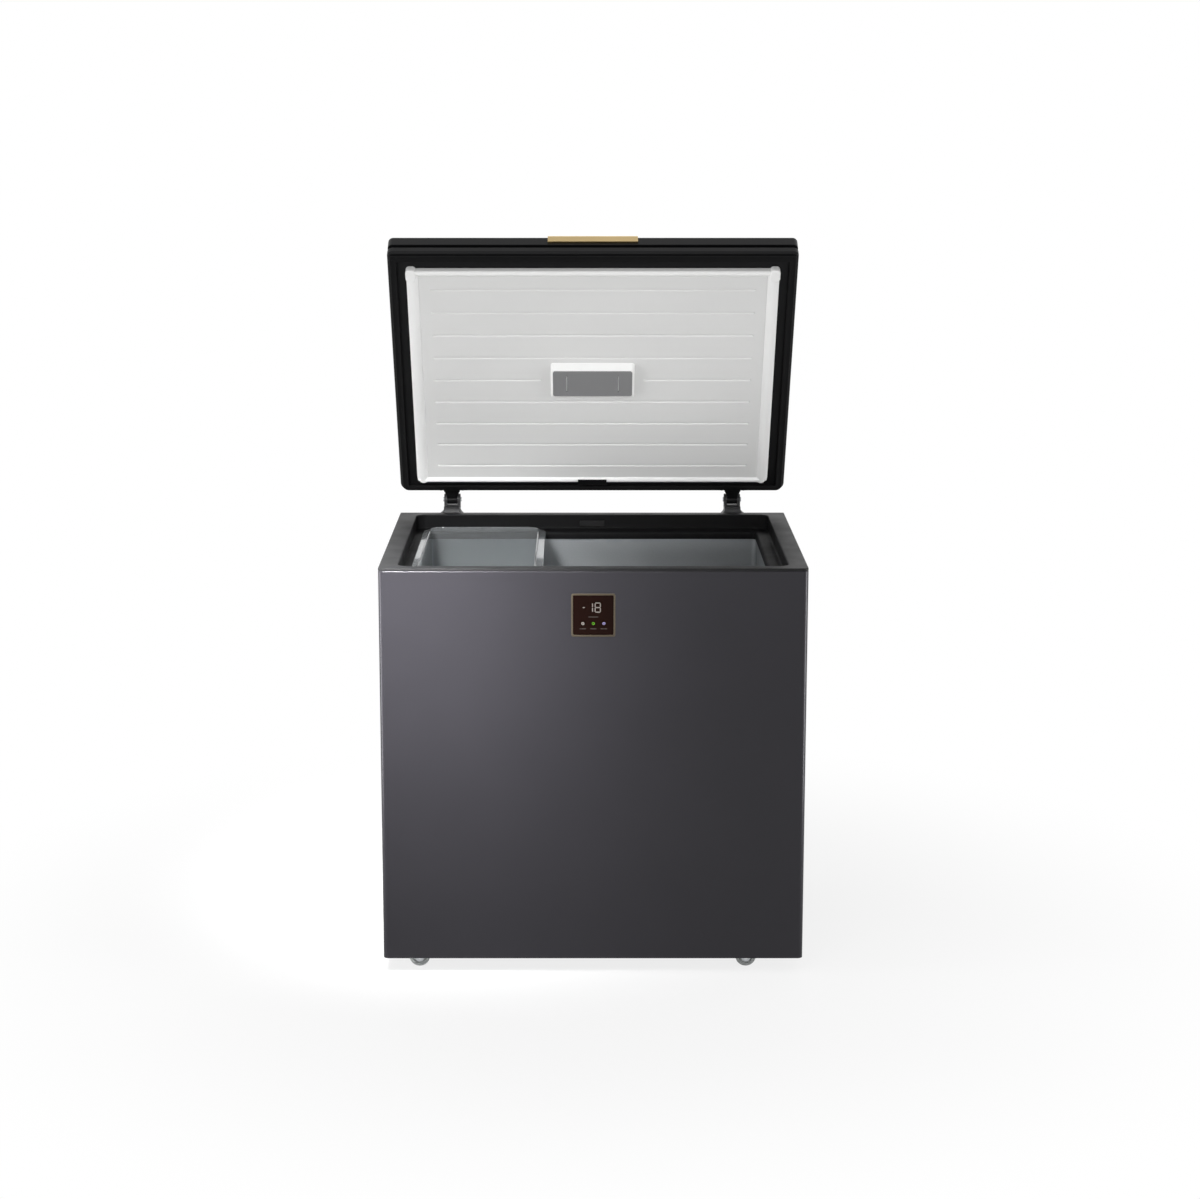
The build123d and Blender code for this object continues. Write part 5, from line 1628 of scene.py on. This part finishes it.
@dataclass
class Hardware:
    """Pieces whose CAD shape is right: merged copies with eased edges and their finish."""

    hinge_ease: float = 0.0008
    sheet_ease: float = 0.0003
    wheel_ease: float = 0.0004

    def build(self) -> None:
        """Dresses the hinges, the casters, the handle and the back of the cabinet."""
        for side in SIDES:
            soft_copy(f"hinge_base_{side}", f"hinge_bracket_{side}", HINGE_GREY, self.hinge_ease)
            soft_copy(f"hinge_arm_{side}", f"hinge_lever_{side}", BLACK_PLASTIC, self.hinge_ease)
        for spot in ("front_left", "front_right", "rear_left", "rear_right"):
            soft_copy(f"caster_fork_{spot}", f"fork_{spot}", FORK_STEEL, self.sheet_ease)
            soft_copy(f"caster_axle_{spot}", f"axle_{spot}", BRIGHT_STEEL, self.sheet_ease)
            soft_copy(f"caster_wheel_{spot}", f"wheel_{spot}", NYLON, self.wheel_ease)
        copies = {
            "hinge_pins": ("hinge_pivots", ZINC), "handle_bar": ("gold_handle", GOLD),
            "handle_cup": ("finger_cup", BLACK_PLASTIC), "lid_rear_tab": ("lid_tab", BLACK_PLASTIC),
            "rear_rim_pad": ("rim_pad", BLACK_PLASTIC),
            "base_pan": ("floor_pan", GALVANISED), "caster_plates": ("caster_mounts", ZINC),
            "inner_liner": ("food_liner", STUCCO), "cord_gland": ("cord_bush", RUBBER),
            "drain_tube": ("drain_pipe", LINER_WHITE), "drain_plug": ("drain_stopper", RUBBER),
            "compressor": ("compressor_pot", ENAMEL),
        }
        for node, (name, finish) in copies.items():
            soft_copy(node, name, finish, self.sheet_ease)

    @staticmethod
    def dress_rest() -> None:
        """Gives every CAD node that stays its slot's finish."""
        for node, slot in NODE_SLOT.items():
            materials = frame["nodes"][node].data.materials
            materials.clear()
            materials.append(SLOT_FINISH[slot].material())


@dataclass(frozen=True)
class Softbox:
    """Soft lamp that looks at a point. Its spread is the angle that its grid lets through, in degrees."""

    name: str
    spot: Triple
    target: Triple
    size: Point
    watts: float
    spread: float = 180.0

    def build(self) -> None:
        """Adds the lamp, out of the camera's sight."""
        data = bpy.data.lights.new(self.name, "AREA")
        data.shape = "RECTANGLE"
        data.size, data.size_y = self.size
        data.energy = self.watts
        data.spread = math.radians(self.spread)
        item = bpy.data.objects.new(self.name, data)
        item.location = self.spot
        item.rotation_euler = (Vector(self.target) - Vector(self.spot)).to_track_quat("-Z", "Y").to_euler()
        item.visible_camera = False
        link(item)


@dataclass
class Studio:
    """Pale floor, soft light and the camera at the photograph's angle."""

    camera_place: Triple = (-0.01878, -4.9226, 1.7213)
    camera_pitch: float = 10.616
    lens: float = 75.305
    sensor: float = 36.0
    shift: Point = (0.0139, -0.05)
    view_end: float = 60.0
    floor_reach: float = 14.0
    floor_color: str = "f4f4f4"
    floor_roughness: float = 0.85
    floor_specular: float = 0.1
    world_light: float = 0.60
    fade_from: float = 0.55
    fade_to: float = 1.5
    floor_white: float = 0.80
    lamps: tuple[Softbox, ...] = (
        Softbox("key", (-0.9, -2.9, 2.5), (0.0, -0.1, 0.95), (1.6, 1.6), 18.0),
        Softbox("fill", (0.0, -2.4, 1.0), (0.0, 0.25, 0.90), (0.5, 0.2), 0.28, 26.0),
        Softbox("grid", (-0.55, -1.2, 1.5), (-0.36, -0.3, 0.67), (0.4, 0.3), 8.6, 39.0),
        Softbox("strip_left", (-1.4, -0.5, 0.6), (-0.4, -0.31, 0.66), (0.4, 1.1), 2.6, 60.0),
        Softbox("strip_right", (1.4, -0.5, 0.6), (0.4, -0.31, 0.66), (0.4, 1.1), 2.2, 60.0),
        Softbox("back", (0.0, 2.8, 2.4), (0.0, 0.2, 0.8), (2.4, 1.6), 14.0),
    )

    def build(self) -> None:
        """Builds the stage."""
        self.build_floor()
        self.build_world()
        for lamp in self.lamps:
            lamp.build()
        self.build_camera()

    @staticmethod
    def seen_rays(tree: Tree) -> Socket:
        """Tells what the camera sees, straight, mirrored or through glass.

        Args:
            tree: Tree of a material or of the world.

        Returns:
            Socket that is 1 for such rays.
        """
        path = add_node(tree, "ShaderNodeLightPath").outputs
        seen = path["Is Camera Ray"]
        for kind in ("Is Glossy Ray", "Is Transmission Ray"):
            either = {0: seen, 1: path[kind]}
            seen = add_node(tree, "ShaderNodeMath", either, operation="MAXIMUM").outputs[0]
        return seen

    def build_floor(self) -> None:
        """Builds the floor, which turns white far from the freezer."""
        skin = Skin()
        reach = self.floor_reach
        corners = [(-reach, -reach, 0), (reach, -reach, 0), (reach, reach, 0), (-reach, reach, 0)]
        skin.add(corners, [(0, 1, 2, 3)])
        mesh = skin.mesh("floor")
        floor = bpy.data.objects.new("floor", mesh)
        link(floor)
        material = bpy.data.materials.new("pale_floor")
        material.use_nodes = True
        tree = material.node_tree
        shader = tree.nodes["Principled BSDF"]
        shader.inputs["Base Color"].default_value = linear(self.floor_color)
        shader.inputs["Roughness"].default_value = self.floor_roughness
        shader.inputs["Specular IOR Level"].default_value = self.floor_specular
        spot = add_node(tree, "ShaderNodeTexCoord").outputs["Object"]
        length = add_node(tree, "ShaderNodeVectorMath", {0: spot}, operation="LENGTH").outputs["Value"]
        limits = {"From Min": self.fade_from, "From Max": self.fade_to, "To Min": self.floor_white}
        fade = add_node(tree, "ShaderNodeMapRange", {"Value": length}, limits,
                        interpolation_type="SMOOTHSTEP")
        share = add_node(tree, "ShaderNodeMath", {0: fade.outputs["Result"], 1: self.seen_rays(tree)},
                         operation="MULTIPLY")
        white = add_node(tree, "ShaderNodeEmission")
        mix = add_node(tree, "ShaderNodeMixShader",
                       {0: share.outputs[0], 1: shader.outputs[0], 2: white.outputs[0]})
        tree.links.new(mix.outputs[0], tree.nodes["Material Output"].inputs["Surface"])
        mesh.materials.append(material)

    def build_world(self) -> None:
        """Builds a white surrounding that lights the object at a plain level."""
        world = bpy.data.worlds.new("studio")
        bpy.context.scene.world = world
        world.use_nodes = True
        tree = world.node_tree
        light = tree.nodes["Background"]
        white = add_node(tree, "ShaderNodeBackground")
        for background, strength in ((light, self.world_light), (white, 1.0)):
            background.inputs["Color"].default_value = (1, 1, 1, 1)
            background.inputs["Strength"].default_value = strength
        mix = add_node(tree, "ShaderNodeMixShader",
                       {0: self.seen_rays(tree), 1: light.outputs[0], 2: white.outputs[0]})
        tree.links.new(mix.outputs[0], tree.nodes["World Output"].inputs["Surface"])

    def build_camera(self) -> None:
        """Adds the camera."""
        data = bpy.data.cameras.new("camera")
        data.lens = self.lens
        data.sensor_width = self.sensor
        data.shift_x, data.shift_y = self.shift
        data.clip_end = self.view_end
        item = bpy.data.objects.new("camera", data)
        item.location = self.camera_place
        item.rotation_euler = (math.radians(90 - self.camera_pitch), 0, 0)
        link(item)
        bpy.context.scene.camera = item


def main() -> None:
    """Builds every sub-assembly in order."""
    logging.basicConfig(level=logging.INFO, format="%(name)s %(message)s")
    bpy.context.scene.view_settings.view_transform = "Standard"
    Hardware.dress_rest()
    assemblies = (CabinetShell(), Rim(), Basket(), LidShell(), LidSeal(), LidLiner(), Lamp(), Display(),
                  Fasteners(), BackPanel(), RearGrille(), HingeNeck(), Hardware(), Studio())
    for assembly in assemblies:
        LOG.info("building %s", type(assembly).__name__)
        assembly.build()


if __name__ == "__main__":
    main()
